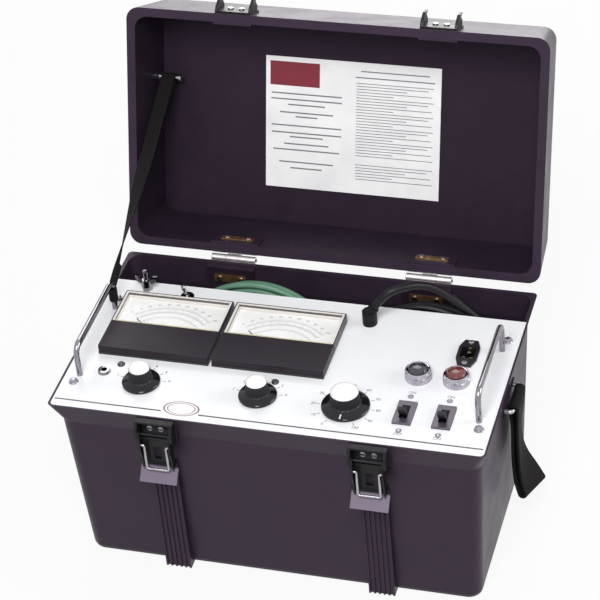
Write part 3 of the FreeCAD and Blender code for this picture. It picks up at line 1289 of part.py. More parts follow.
def make_toggle():
    bore = "(bushing_radius - 1.4)"
    bushing = turned("toggle_bushing", [
        (bore, "-2"), ("bushing_radius", "-2"), ("bushing_radius", "4 + panel_thickness"),
        (bore, "4 + panel_thickness")], ("toggle_x", "toggle_y", PANEL_UNDER))
    body = box("toggle_box", ("14", "26", "24"), ("toggle_x - 7", "toggle_y - 13", f"{PANEL_UNDER} - 24"))
    room = rod("toggle_room", bore, "6", ("toggle_x", "toggle_y", f"{PANEL_UNDER} - 5"))
    nut = rod("toggle_nut", "bushing_radius + 2.5", "2.2", ("toggle_x", "toggle_y", PANEL_TOP))
    nut_hole = rod("toggle_nut_hole", "bushing_radius + running_gap", "5",
                   ("toggle_x", "toggle_y", f"{PANEL_TOP} - 1"))
    housing = fuse("toggle_housing", [bushing, cut("toggle_body", body, [room])])
    keep(group("toggle_switch", [housing, cut("toggle_ring", nut, [nut_hole])]))
    bat = turned("toggle_bat_body", [
        ("0", "-3"), ("2.2", "-2.4"), ("bushing_radius - 1.4 - fit_gap", "0"), ("2.2", "2.4"), ("1.5", "3.2"),
        ("1.5", "6"), ("2.6", "toggle_length - 1"), ("1.8", "toggle_length + 1"), ("0", "toggle_length + 1")],
        ("0", "0", "0"))
    pin_half = "(bushing_radius - 1.4 - fit_gap + running_gap)"
    pin = rod("toggle_pin", "0.9", f"2 * {pin_half}", ("0", f"-{pin_half}", "0"), "+Y")
    keep(place(fuse("toggle_bat", [bat, pin]), ("toggle_x", "toggle_y", PANEL_TOP),
               Rotation(Vector(0, 1, 0), -number("toggle_tilt"))))


def make_jack_and_plugs():
    ferrule = turned("jack_ferrule", [
        ("jack_bore", "-panel_thickness - 4"), ("bushing_radius", "-panel_thickness - 4"),
        ("bushing_radius", "0"), ("jack_radius", "0"), ("jack_radius - 1", "3"), ("jack_bore", "3")],
        ("jack_x", "jack_y", PANEL_TOP))
    body = turned("jack_body", [
        ("bushing_radius + running_gap", "0"), ("jack_radius", "0"), ("jack_radius", "-22"), ("0", "-22"),
        ("0", "-20"), ("bushing_radius + running_gap", "-20")], ("jack_x", "jack_y", PANEL_UNDER))
    keep(group("recorder_jack", [ferrule, body]))
    plugs = []
    for side, x in (("left", "plug_left"), ("right", "plug_right")):
        plugs.append(turned(f"zero_plug_{side}", [
            ("0", "-panel_thickness - 3"), ("plug_radius / 2", "-panel_thickness - 3"),
            ("plug_radius / 2", "0"), ("plug_radius", "0"), ("plug_radius", "1"),
            ("plug_radius - 1.2", "2.4"), ("0", "2.4")], (x, "plug_row", PANEL_TOP)))
    keep(group("zero_plugs", plugs))


# Lamps, breakers and inlet

def make_lamps():
    bezels, holders = [], []
    seat = "(bezel_height - 5)"
    for side, x in LAMPS:
        foot = (x, "lamp_row", PANEL_TOP)
        bezels.append(turned(f"lamp_bezel_{side}", [
            ("lamp_neck - 2", "-panel_thickness - 5"), ("lamp_neck", "-panel_thickness - 5"),
            ("lamp_neck", "0"), ("bezel_radius", "0"), ("bezel_radius", "bezel_height - 2"),
            ("bezel_radius - 1.5", "bezel_height"), ("lens_radius + fit_gap", "bezel_height"),
            ("lens_radius + fit_gap", seat), ("lamp_neck - 2", seat)], foot))
        lens = turned(f"lamp_lens_{side}", [
            ("0", seat), ("lens_radius", seat), ("lens_radius", "bezel_height"),
            ("lens_radius * 0.87", "bezel_height + 2.2"), ("lens_radius * 0.5", "bezel_height + 4"),
            ("0", "bezel_height + 4.6")], foot)
        keep(group("lamp_lens_dark" if side == "left" else "lamp_lens_red", [lens]))
        holders.append(turned(f"lamp_holder_{side}", [
            ("lamp_neck + running_gap", "-panel_thickness"), ("lamp_neck + 2.5", "-panel_thickness"),
            ("lamp_neck + 2.5", "-lamp_depth"), ("0", "-lamp_depth"), ("0", "-panel_thickness - 6"),
            ("lamp_neck + running_gap", "-panel_thickness - 6")], foot))
    keep(group("lamp_bezels", bezels))
    keep(group("lamp_holders", holders))


def make_breakers():
    bodies = []
    for side, x in BREAKERS:
        left = f"{x} - breaker_width / 2"
        face = box(f"breaker_face_{side}",
                   ("breaker_width", "breaker_depth", "panel_thickness + breaker_proud + 1"),
                   (left, "breaker_row - breaker_depth / 2", f"{PANEL_UNDER} - 1"))
        block = box(f"breaker_block_{side}", ("breaker_width", "breaker_body", "breaker_drop"),
                    (left, "breaker_row - breaker_body / 2", f"{PANEL_UNDER} - breaker_drop"))
        pivot = f"({PANEL_TOP} - lever_depth)"
        slot = box(f"breaker_slot_{side}",
                   ("lever_width + 2 * fit_gap", "breaker_depth - 14", "lever_hub + 20"),
                   (f"{x} - lever_width / 2 - fit_gap", "breaker_row - breaker_depth / 2 + 7",
                    f"{pivot} - lever_hub - fit_gap"))
        holes = [rod(f"breaker_thread_{mark}", f"{SMALL_SCREW} + running_gap", "screw_length",
                     (place_x, place_y, f"{PANEL_TOP} - screw_length"))
                 for mark, place_x, place_y in breaker_screw_places() if mark.startswith(side)]
        bodies.append(cut(f"breaker_{side}", fuse(f"breaker_whole_{side}", [face, block]), [slot] + holes))

        hub = rod(f"breaker_hub_{side}", "lever_hub", "lever_width", ("-lever_width / 2", "0", "0"), "+X")
        paddle = padded(f"breaker_paddle_{side}", [
            ("-lever_thick / 2", "0"), ("lever_thick / 2", "0"), ("lever_thick / 2 + 0.6", "lever_rise - 2"),
            ("lever_thick / 2 - 0.6", "lever_rise"), ("-lever_thick / 2 + 0.6", "lever_rise"),
            ("-lever_thick / 2 - 0.6", "lever_rise - 2")],
            "lever_width", "YZ_Plane", foot=("-lever_width / 2", "0", "0"))
        lever = fuse(f"breaker_lever_{side}", [hub, paddle])
        keep(place(lever, (x, "breaker_row", pivot), Rotation(Vector(1, 0, 0), number("lever_tilt"))))
    keep(group("breakers", bodies))


def make_inlet():
    half = "(inlet_width / 2)"
    end = "(inlet_length / 2)"
    flange = padded("inlet_flange_plate", [
        (f"-{half}", f"-{end} + 11"), ("-7", f"-{end}"), ("7", f"-{end}"), (half, f"-{end} + 11"),
        (half, f"{end} - 11"), ("7", end), ("-7", end), (f"-{half}", f"{end} - 11")],
        "inlet_flange", foot=("inlet_x", "inlet_y", PANEL_TOP))
    size = ("inlet_width - 4", "inlet_length - 20", "inlet_body + panel_thickness + 1")
    shell = box("inlet_shell", size,
                (f"inlet_x - {half} + 2", f"inlet_y - {end} + 10", f"{PANEL_UNDER} - inlet_body"))
    recess = box("inlet_recess", ("inlet_width - 7", "inlet_length - 24", "inlet_body + inlet_flange + 3"),
                 (f"inlet_x - {half} + 3.5", f"inlet_y - {end} + 12", f"{PANEL_UNDER} - inlet_body + 4"))
    holes = [rod(f"inlet_flange_hole_{mark}", f"{SMALL_SCREW} + running_gap", "inlet_flange + 2",
                 (x, y, f"{PANEL_TOP} - 1")) for mark, x, y in inlet_screw_places()]
    pins = []
    for mark, dx, dy in (("a", "-4.2", "-4"), ("b", "4.2", "-4"), ("c", "0", "5")):
        foot = (f"inlet_x + ({dx})", f"inlet_y + ({dy})", f"{PANEL_UNDER} - inlet_body - 6")
        pins.append(rod(f"inlet_pin_{mark}", "inlet_pin", "inlet_body + panel_thickness + 5", foot))
        foot_hole = rod(f"inlet_pin_hole_{mark}", "inlet_pin + running_gap", "inlet_body", foot)
        holes.append(foot_hole)
    keep(cut("mains_inlet", fuse("inlet_whole", [flange, shell]), [recess] + holes))
    keep(group("inlet_pins", pins))


# Lead well, leads and their fittings

def make_well():
    top = f"({PANEL_UNDER})"
    back = "panel_back"
    under = "well_floor - sheet_gauge"
    profile = [
        (back, "well_floor"), (f"{back} + well_depth", "well_floor"), (f"{back} + well_depth", under),
        (f"{back} - sheet_gauge", under), (f"{back} - sheet_gauge", f"{top} - sheet_gauge"),
        (f"{back} - flange_depth", f"{top} - sheet_gauge"), (f"{back} - flange_depth", top), (back, top)]
    keep(padded("lead_well", profile, "well_width", "YZ_Plane", foot=("-well_width / 2", "0", "0")))


def coil_stations(center, radius, pitch, layers, lead_in, inward, outward):
    """Points and headings, half a turn apart: in on the first layer, up, and out on the second."""
    marks = [(lead_in - 90, radius + pitch * lead_in / 360, layers[0])]
    if lead_in:
        marks.append((-90, radius, layers[0]))
    changes = [-pitch / 2] * inward + [0] + [pitch / 2] * outward
    for step, change in enumerate(changes):
        angle, size, _ = marks[-1]
        marks.append((angle - 180, size + change, layers[0] if step < inward else layers[1]))
    stations = []
    for angle, size, layer in marks:
        turn = math.radians(angle)
        point = Vector(center.x + size * math.cos(turn), layer, center.z + size * math.sin(turn))
        stations.append((point, Vector(math.sin(turn), 0, -math.cos(turn))))
    return stations


def biarc(start, heading, end, leaving):
    """Two arcs from a point and heading to another, joined where they share a tangent."""
    gap = end - start
    tangents = heading + leaving
    a = 2 * (1 - heading.dot(leaving))
    b = 2 * gap.dot(tangents)
    reach = (-b + math.sqrt(b * b + 4 * a * gap.dot(gap))) / (2 * a)
    near = start + heading * reach
    far = end - leaving * reach
    joint = (near + far) * 0.5
    return [arc_edge(start, near, joint), arc_edge(joint, far, end)]


def coil_wire(stations, tail):
    """The coil's path, with a straight run of one diameter at each end."""
    first, heading = stations[0]
    last, leaving = stations[-1]
    edges = [Part.LineSegment(first - heading * tail, first).toShape()]
    for (start, leave), (end, arrive) in zip(stations, stations[1:]):
        edges += biarc(start, leave, end, arrive)
    edges.append(Part.LineSegment(last, last + leaving * tail).toShape())
    return Part.Wire(edges)


def least_gap(wire, diameter):
    """Least clear distance between turns, measured on points along the wire."""
    step = diameter / 2
    points = wire.discretize(Distance=step)
    skip = int(diameter * 4 / step)
    least = min(
        points[i].distanceToPoint(points[j])
        for i in range(0, len(points), 2) for j in range(i + skip, len(points))
    )
    return least - diameter


def report_tube(name, shape, wire, diameter):
    expected = math.pi * diameter * diameter / 4 * wire.Length
    share = shape.Volume / expected
    print(f"{name}: length {wire.Length:.0f} mm, volume over section times length {share:.4f}")


def lead_coil(name, diameter, pitch, radius, middle, layer, lead_in, inward, outward):
    stations = coil_stations(middle, radius, pitch, (layer, layer + pitch), lead_in, inward, outward)
    wire = coil_wire(stations, diameter)
    shape = round_bar(wire, diameter / 2)
    report_tube(name, shape, wire, diameter)
    print(f"{name}: least gap between turns {least_gap(wire, diameter):.2f} mm")
    keep(shaped(name, shape))
    return stations


# Arc before the first half turn, half turns inward and half turns outward.
TEST_TURNS = (135, 6, 5)
EARTH_TURNS = (0, 6, 5)
# Route of the test lead from its boot to its coil, above the rim.
TEST_ROUTE = (
    (89.5, 62.0, 39.9), (101.0, 70.0, 39.5), (110.5, 80.0, 35.6), (121.3, 90.0, 28.1),
    (133.1, 94.5, 19.0), (147.5, 94.0, 6.0),
)


def boot_axis():
    tilt = math.radians(number("boot_tilt"))
    return Vector(math.sin(tilt) * 0.97, math.sin(tilt) * 0.24, math.cos(tilt)).normalize()


def make_leads():
    nut = rod("gland_nut", "gland_radius", "gland_height", ("gland_x", "gland_y", PANEL_TOP))
    neck = rod("gland_neck", "bushing_radius", "panel_thickness + 9",
               ("gland_x", "gland_y", f"{PANEL_UNDER} - 8"))
    axis = boot_axis()
    foot = ("gland_x", "gland_y", f"{PANEL_TOP} + gland_height - boot_radius / 2")
    boot = turned("gland_boot", [
        ("0", "-4"), ("boot_radius - 3", "-4"), ("boot_radius", "0"), ("boot_tip", "boot_length"),
        ("0", "boot_length")], foot, Rotation(Vector(0, 0, 1), axis))
    keep(fuse("lead_gland", [nut, neck, boot]))

    diameter = number("test_lead")
    radius = number("test_coil")
    middle = Vector(number("test_coil_x"), 0, number("well_floor + test_lift + test_lead / 2") + radius)
    stations = lead_coil("test_lead_coil", diameter, number("test_pitch"), radius, middle,
                         number("test_layer"), *TEST_TURNS)
    tip = Vector(*(number(text) for text in foot)) + axis * number("boot_length")
    first, heading = stations[0]
    entry = first - heading * diameter
    rim = number("tub_height")
    route = [tip, tip + axis * 15]
    route += [Vector(x, y, z + rim) for x, y, z in TEST_ROUTE]
    route += [entry - heading * 20, entry]
    radii = []

    def widest(before, corner, after):
        run = min((corner - before).Length, (after - corner).Length)
        half = (corner - before).getAngle(after - corner) / 2
        radii.append(0.45 * run / math.tan(half))
        return radii[-1]

    wire = rounded_path(route, widest)
    print("test_lead radii", " ".join(f"{radius:.0f}" for radius in radii))
    print("test_lead runs", " ".join(f"{(b - a).Length:.0f}" for a, b in zip(route, route[1:])))
    shape = round_bar(wire, diameter / 2)
    report_tube("test_lead", shape, wire, diameter)
    keep(shaped("test_lead", shape))
    last, leaving = stations[-1]
    end = last + leaving * diameter
    keep(make_sleeve(end, leaving))

    radius = number("earth_coil")
    middle = Vector(number("earth_coil_x"), 0, number("well_floor + earth_lift + earth_lead / 2") + radius)
    stations = lead_coil("earth_lead", number("earth_lead"), number("earth_pitch"), radius, middle,
                         number("earth_layer"), *EARTH_TURNS)
    first, heading = stations[0]
    last, leaving = stations[-1]
    tail = number("earth_lead")
    lugs = [make_lug("earth_lug_fixed", first - heading * tail, heading * -1),
            make_lug("earth_lug_free", last + leaving * tail, leaving)]
    keep(group("earth_lugs", lugs))


def make_sleeve(start, heading):
    """Insulated sleeve with a bare pin, at the test lead's end."""
    pin = number("sleeve_radius") * 0.45
    sleeve = Part.makeCylinder(number("sleeve_radius"), number("sleeve_length"), start, heading)
    tip = start + heading * number("sleeve_length")
    nose = Part.makeCylinder(pin, number("sleeve_length") * 0.4, tip, heading)
    return shaped("test_lead_sleeve", sleeve.fuse(nose))


def make_lug(name, start, heading):
    """Crimped barrel with a flat eye."""
    barrel = Part.makeCylinder(number("lug_barrel"), number("lug_length"), start, heading)
    thickness = number("lug_plate")
    radius = number("lug_ring")
    center = start + heading * (number("lug_length") + radius * 0.8)
    side = Vector(0, 1, 0)
    eye = Part.makeCylinder(radius, thickness, center - side * (thickness / 2), side)
    hole = Part.makeCylinder(radius * 0.5, thickness * 3, center - side * thickness, side)
    return shaped(name, barrel.fuse(eye).cut(hole))


# Lid stay: sections along its webbing, and the share of its length that takes the quarter turn

STAY_FRAMES = 12
STAY_TWIST = 0.7


def band_frame(center, wide, thick, width, band):
    """Outline of the webbing's section."""
    corners = [center + wide * (a * width / 2) + thick * (b * band / 2)
               for a, b in ((-1, -1), (1, -1), (1, 1), (-1, 1))]
    return Part.makePolygon(corners + corners[:1])


def make_stay():
    """Webbing from a pin on the lid's left wall, a quarter turn down to an eye round the left handle's post."""
    start, pin = stay_line()
    band = number("stay_thickness")
    width = number("stay_width")
    side = Vector(1, 0, 0)
    rise = side.cross(pin - start).normalize()
    on_pin = number("stay_pin + fit_gap")
    end = pin + rise * (on_pin + band / 2)
    frames = []
    for step in range(STAY_FRAMES + 1):
        share = step / STAY_FRAMES
        eased = min(share / STAY_TWIST, 1)
        turn = math.pi / 2 * eased * eased * (3 - 2 * eased)
        wide = rise * math.cos(turn) + side * math.sin(turn)
        thick = side * math.cos(turn) - rise * math.sin(turn)
        frames.append(band_frame(start + (end - start) * share, wide, thick, width, band))
    strip = Part.makeLoft(frames, True, True)

    on_post = number("handle_radius + fit_gap")
    post = Vector(number("-handle_spread"), start.y, start.z - width / 2)
    post_eye = Part.makeCylinder(on_post + band, width, post)
    post_bore = Part.makeCylinder(on_post, width * 2, post - Vector(0, 0, width / 2))
    pin_left = pin - side * (width / 2)
    pin_eye = Part.makeCylinder(on_pin + band, width, pin_left, side)
    pin_bore = Part.makeCylinder(on_pin, width * 2, pin_left - side * (width / 2), side)
    shape = strip.fuse([post_eye, pin_eye]).cut([post_bore, pin_bore])
    print(f"lid stay: {(end - start).Length:.0f} mm from post to pin")
    keep(shaped("lid_stay", shape))


# Inside the case

def make_inside():
    base = "floor_thickness"
    left = "(transformer_x - core_length / 2)"
    front = "(transformer_y - core_depth / 2)"
    stack = box("core_stack", ("core_length", "core_depth", "core_height"), (left, front, base))
    windows = []
    window_width = "(core_length / 2 - core_limb * 2)"
    for side, x in (("left", f"{left} + core_limb"), ("right", f"{left} + core_length / 2 + core_limb")):
        windows.append(box(f"core_window_{side}",
                           (window_width, "core_depth + 2", "core_height - 2 * core_limb"),
                           (x, f"{front} - 1", f"{base} + core_limb")))
    keep(cut("transformer_core", stack, windows))
    half = "(core_length / 2 - core_limb - fit_gap)"
    block = box("winding_block",
                (f"2 * {half}", "winding_depth", "core_height - 2 * core_limb - 2 * fit_gap"),
                (f"transformer_x - {half}", "transformer_y - winding_depth / 2",
                 f"{base} + core_limb + fit_gap"))
    limb = box("winding_bore", ("2 * core_limb + 2 * fit_gap", "core_depth + 2 * fit_gap", "core_height"),
               ("transformer_x - core_limb - fit_gap", f"{front} - fit_gap", base))
    keep(cut("transformer_winding", block, [limb]))

    board_left = "(board_x - board_length / 2)"
    board_front = "(board_y - board_width / 2)"
    board_bottom = f"({base} + standoff_height)"
    pieces = [box("board_sheet", ("board_length", "board_width", "board_thickness"),
                  (board_left, board_front, board_bottom))]
    for mark, x in (("left", f"{board_left} + 8"), ("right", f"{board_left} + board_length - 8")):
        for end, y in (("front", f"{board_front} + 8"), ("rear", f"{board_front} + board_width - 8")):
            pieces.append(rod(f"standoff_{mark}_{end}", "standoff_radius", "standoff_height", (x, y, base)))
    pieces += [rod(f"capacitor_{k}", "capacitor_radius", "capacitor_height",
                   (f"board_x + ({k} - 1) * capacitor_pitch", "board_y", f"{board_bottom} + board_thickness"))
               for k in range(3)]
    keep(group("rectifier_board", pieces))


make_tub()
make_case_rivets()
hinge_pins = make_hinges()
make_lid()
make_keepers()
make_latches(hinge_pins)
make_carrying_loops()
make_panel()
make_panel_hardware()
make_meters()
make_knobs()
make_terminal()
make_toggle()
make_jack_and_plugs()
make_lamps()
make_breakers()
make_inlet()
make_well()
make_leads()
make_stay()
make_inside()
doc.recompute()

for item in doc.Objects:
    if "Invalid" in item.State or "Error" in item.State:
        raise RuntimeError(f"{item.Name} did not build: {item.State}")
for node in nodes:
    if node.Shape.isNull() or not node.Shape.isValid():
        raise RuntimeError(f"{node.Label} has no valid shape")

os.makedirs("parts", exist_ok=True)
for node in nodes:
    node.Shape.exportStep(f"parts/{node.Label}.step")
print(len(nodes), "nodes written")
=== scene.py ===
import math

import bpy
from mathutils import Matrix, Quaternion, Vector


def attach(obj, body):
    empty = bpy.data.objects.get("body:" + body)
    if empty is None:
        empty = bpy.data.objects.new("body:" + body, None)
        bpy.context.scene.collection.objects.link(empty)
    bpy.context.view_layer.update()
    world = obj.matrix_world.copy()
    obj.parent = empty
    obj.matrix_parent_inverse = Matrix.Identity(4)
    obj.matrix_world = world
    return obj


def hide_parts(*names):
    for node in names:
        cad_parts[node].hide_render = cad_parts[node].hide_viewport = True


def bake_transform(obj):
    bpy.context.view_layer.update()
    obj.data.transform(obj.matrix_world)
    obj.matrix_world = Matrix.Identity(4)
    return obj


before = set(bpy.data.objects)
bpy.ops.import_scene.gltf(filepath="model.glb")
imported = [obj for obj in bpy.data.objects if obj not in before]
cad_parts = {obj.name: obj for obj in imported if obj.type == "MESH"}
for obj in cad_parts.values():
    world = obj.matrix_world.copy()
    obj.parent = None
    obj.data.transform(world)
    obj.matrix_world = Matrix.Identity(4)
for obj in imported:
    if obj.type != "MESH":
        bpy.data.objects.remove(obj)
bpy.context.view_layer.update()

bl_info = {
    "name": "Insulation tester in a carrying case",
    "version": (1, 0, 0),
    "blender": (4, 5, 0),
    "location": "View3D > Sidebar > Tester",
    "description": "Leads, webbing, controls, print and finishes of a portable insulation tester",
    "category": "Object",
}

# The camera that took the photograph, in metres and degrees, with its lens and sensor in millimetres.
CAMERA_PLACE = (0.65711, -1.88515, 1.80870)
CAMERA_AIM = (-0.00138, 0.03199, 0.25217)
CAMERA_ROLL = -5.709
CAMERA_LENS = 146.74
CAMERA_SENSOR = 36.0

# The floor: size, drop below the case, white share, and its grey as light and as background.
FLOOR_SIZE = 14.0
FLOOR_DROP = 0.0003
FLOOR_WHITE = 0.88
FLOOR_GREY_AS_LIGHT = 0.28
FLOOR_GREY_SHOWN = 0.75
# The world's colour and its strength as light; as background its strength is 1.
WORLD_COLOUR = (0.975, 0.975, 0.985, 1.0)
WORLD_AS_LIGHT = 0.24
# Studio lamps: place, the point they face, size in metres and power in watts.
# The key stands above the camera, the top and back boxes behind the case, the right box beside it.
STUDIO_LAMPS = {
    "key_box": ((0.3, -1.8, 2.5), (0.0, 0.1, 0.3), 1.5, 78.0),
    "top_box": ((-0.6, 2.2, 2.2), (0.0, 0.0, 0.2), 1.8, 20.0),
    "right_box": ((2.4, 0.5, 1.2), (0.0, 0.0, 0.15), 1.4, 26.0),
    "back_box": ((-0.3, 2.7, 0.7), (0.0, 0.2, 0.4), 1.8, 30.0),
}

# The panel's top, and the middles of tub and lid, from which their inside walls face away.
PANEL_TOP = 0.2125
TUB_CENTRE = (0.0, 0.0, 0.120)
LID_CENTRE = (0.0, 0.224, 0.3265)
# Nothing in front of this counts as the inside of the case.
INSIDE_FRONT = -0.12
# How much painted shade darkens the inside of the case, the gloss outside and inside, and the grain's size
# and depth.
INSIDE_PAINTED_SHADE = 0.8
OUTSIDE_GLOSS = 0.27
INSIDE_GLOSS = 0.15
CASE_GRAIN = 0.0017
CASE_GRAIN_DEPTH = 0.00014
# Ribs and yarns of the webbing and rings of the knob caps are too fine to show, so they are drawn coarser.
RIB_SPACING = 0.00236
YARN_SPACING = 0.00267
CAP_RING_SPACING = 0.00188
# A wave texture repeats at this share of its size.
WAVE_BAND = math.pi / 10
# The hinges are bright behind the first of these, and the latch levers carry a painted highlight below the
# second.
HINGE_OUTSIDE = 0.128
LEVER_LIP = 0.1535

# Meters: middles, half width, top, rear edge, rear edge of the cover, and the needles' pivot line.
METERS = {"left": -0.1435, "right": -0.0188}
METER_HALF = 0.0605
METER_TOP = 0.2235
METER_BACK = 0.053
COVER_BACK = 0.0006
NEEDLE_PIVOT_Y = -0.0205
# A meter's rim: its width, the depth of the painted highlight on its top, and how far below its top the walls
# round the dial start.
METER_RIM = 0.0012
METER_RIM_HIGHLIGHT = 0.0003
METER_WALLS = 0.0032
# The painted highlight along the edge behind each cover: its size and the line it lies on.
COVER_HIGHLIGHT_SIZE = (0.1130, 0.0010, 0.0006)
COVER_HIGHLIGHT_Y = 0.0012

# Dials: height, arcs by radius, their width and end angles, tick width, ticks as radius, length and count.
DIAL_TOP = 0.2163
DIAL_ARCS = (0.0445, 0.0515, 0.0585)
DIAL_LINE = 0.0005
DIAL_FIRST = 135.0
DIAL_LAST = 45.0
DIAL_TICK = 0.0004
DIAL_TICKS = ((0.0525, 0.0035, 11), (0.0523, 0.0020, 51), (0.0593, 0.0026, 31), (0.0440, -0.0022, 21))
DIAL_FIGURES = 11
DIAL_FIGURE_RADIUS = 0.0655
DIAL_FIGURE_SIZE = 0.0042

# Knobs: centre, size, and the way the index points at rest, in degrees.
KNOBS = {
    "multiplier_knob": ((-0.144, -0.082), "small", 90.0),
    "range_knob": ((-0.018, -0.082), "small", 90.0),
    "output_knob": ((0.075, -0.082), "large", -90.0),
}
# A knob's gap over the panel, where its skirt's slope starts and ends, and where its dull grip begins.
KNOB_GAP = 0.0008
SKIRT_LOW = 0.0030
SKIRT_HIGH = 0.0048
GRIP_START = 0.0066
# The flutes keep this share of a grip's radius, and the ribs this share of a lamp bezel's.
GRIP_FLUTE = 0.93
BEZEL_RIB = 0.95
CAP_SIDES = 64
SHAFT_SIDES = 24
SHAFT_RINGS = ((0.0031, -0.0300), (0.0031, -0.0002), (0.0020, 0.0))
INDEX_WIDTH = 0.0014
INDEX_HEIGHT = 0.0004

# Lamps and breakers on the panel.
LAMPS = {"lamp_bezel_dark": (0.137, -0.024), "lamp_bezel_red": (0.177, -0.024)}
BREAKERS = {"left": 0.1365, "right": 0.177}

# Panel print: the front line in two runs, and the oval between them, its rings as radius and width.
FRONT_LINE_Y = -0.121
FRONT_LINE_WIDTH = 0.0019
FRONT_LINE_RUNS = ((-0.2255, -0.110), (-0.070, 0.2255))
OVAL_CENTRE = (-0.0900, -0.1145, 0.0)
OVAL_FLATNESS = 0.58
OVAL_RINGS = ((0.0176, 0.0016), (0.0140, 0.0010))
# Knob scales: marks, first figure, step between figures, and the angles of the first and last mark.
KNOB_SCALES = {"small": (6, 1, 1, 165.0, 15.0), "large": (11, 0, 10, 240.0, -60.0)}
SCALE_TICK = (0.0035, 0.0007)
SCALE_TICK_OUT = 0.0038
SCALE_FIGURE_OUT = 0.0092
PANEL_FIGURE_SIZE = 0.0052
BREAKER_WORDS = {"ON": -0.0485, "OFF": -0.1135}

# The test lead from its gland to the coil, and both coils in the well.
TEST_EXIT = (0.07157, 0.05638, 0.23349)
TEST_ROUTE = (
    TEST_EXIT,
    (0.0799, 0.0584, 0.2458),
    (0.0895, 0.0620, 0.2529),
    (0.1010, 0.0700, 0.2530),
    (0.1105, 0.0800, 0.2495),
    (0.1213, 0.0895, 0.2425),
    (0.1340, 0.0940, 0.2340),
    (0.1480, 0.0940, 0.2240),
    (0.1615, 0.0940, 0.2125),
    (0.1745, 0.0940, 0.2000),
)
TEST_COIL = {
    "centre": (0.118, 0.1195),
    "layers": (0.094, 0.1049),
    "radius": 0.087,
    "pitch": 0.0109,
    "lead_in": 135.0,
}
TEST_END = (0.109, 0.1049, 0.03795)
EARTH_EXIT = (-0.0634, 0.091, 0.0333)
EARTH_COIL = {
    "centre": (-0.070, 0.1233),
    "layers": (0.091, 0.0991),
    "radius": 0.090,
    "pitch": 0.0081,
    "lead_in": 0.0,
}
EARTH_END = (-0.0766, 0.0991, 0.03735)
# Half turns that a coil winds inward and then outward again.
COIL_INWARD = 6
COIL_OUTWARD = 5
POINTS_PER_TURN = 24
# Both coils stand a little taller than round, so that their upper turns show above the rim.
COIL_STRETCH = 1.05

# The lid stay: the post and the pin that it is sewn round, and the length of its weave.
STAY_POST = Vector((-0.2123, 0.034, 0.2315))
STAY_POST_RADIUS = 0.0034
STAY_PIN = Vector((-0.2069, 0.2622, 0.3626))
STAY_PIN_RADIUS = 0.0033
STAY_WEAVE = 0.32
# Shares of the stay over which it takes its quarter turn and leaves the post upright.
STAY_TWIST = 0.7
STAY_UPRIGHT = 0.15
# The sewn tail at the post: its distance from the stay and its places along it.
POST_TAIL_GAP = 0.0016
POST_TAIL = (0.036, 0.028, 0.020, 0.012)
# The sewn tail at the pin: its start, where it meets the stay, its distance from it, its bend and its places.
PIN_TAIL_START = 0.006
PIN_TAIL_MEETS = 0.020
PIN_TAIL_GAP = 0.0017
PIN_TAIL_BEND = 0.012
PIN_TAIL = (0.0, 0.009, 0.018, 0.027)

# The right carrying loop: bar seen from the front, middle, depth of the lower fold and length of the weave.
LOOP_BAR = (0.231, 0.169)
LOOP_BAR_RADIUS = 0.0028
LOOP_MIDDLE = 0.011
LOOP_FOLD = 0.0036
LOOP_WEAVE = 0.26
LOOP_STEPS = 28
# Both legs of a loop, downward: height, and how far out its front and rear edges hang.
LOOP_INNER = (
    (0.169, 0.2267, 0.2267),
    (0.150, 0.2290, 0.2278),
    (0.132, 0.2293, 0.2258),
    (0.116, 0.2290, 0.2250),
    (0.099, 0.2290, 0.2265),
    (0.083, 0.2295, 0.2315),
    (0.067, 0.2305, 0.2400),
    (0.051, 0.2330, 0.2490),
)
LOOP_OUTER = (
    (0.169, 0.2353, 0.2353),
    (0.150, 0.2348, 0.2333),
    (0.132, 0.2346, 0.2310),
    (0.116, 0.2348, 0.2303),
    (0.099, 0.2352, 0.2315),
    (0.083, 0.2360, 0.2365),
    (0.067, 0.2375, 0.2460),
    (0.051, 0.2400, 0.2555),
)

# Lid card, on the shut lid: the hinge axis, how far the lid stands open, the card's face and its upper edge.
HINGE_AXIS = (0.0, 0.140, 0.213)
LID_OPENING = -108.0
CARD_FACE = 0.0843
CARD_TOP = -0.210
# Middles of the card's columns, and the rows of the left column and the titles as length and distance down.
CARD_LEFT_MIDDLE = -0.0525
CARD_RIGHT_MIDDLE = 0.0475
CARD_LEFT_ROWS = (
    (0.080, 0.0415),
    (0.081, 0.0480),
    (0.042, 0.0540),
    (0.061, 0.0630),
    (0.025, 0.0675),
    (0.080, 0.0780),
    (0.080, 0.0862),
    (0.038, 0.0908),
    (0.051, 0.0990),
    (0.076, 0.1058),
    (0.062, 0.1200),
    (0.036, 0.1268),
)
CARD_TITLE_ROWS = ((0.077, 0.0099), (0.089, 0.0170))
# Fine rows of the right column: first distance down and count, then length, pitch and shortenings.
CARD_FINE_ROWS = ((0.0235, 26), (0.1165, 6))
CARD_FINE_LENGTH = 0.087
CARD_FINE_PITCH = 0.0033
CARD_FINE_SHORTER = (0.0, 0.006, 0.030, 0.002, 0.045)
# Widths of the lines in the left column, the titles and the fine rows.
CARD_LEFT_LINE = 0.0015
CARD_TITLE_LINE = 0.0013
CARD_FINE_LINE = 0.0008
CARD_BLOCK_SIZE = (0.0565, 0.0272)
CARD_BLOCK_MIDDLE = -0.0658
CARD_BLOCK_DOWN = 0.0190


def linear(code):
    """Turn an sRGB hex colour into linear red, green and blue."""
    channels = [int(code[start:start + 2], 16) / 255 for start in (1, 3, 5)]
    return [value / 12.92 if value <= 0.04045 else ((value + 0.055) / 1.055) ** 2.4 for value in channels]


def length_of(name, description, default):
    """A length that the user may change, in metres."""
    return bpy.props.FloatProperty(
        name=name,
        description=description,
        default=default,
        min=0.0,
        precision=4,
        subtype="DISTANCE",
        unit="LENGTH",
    )


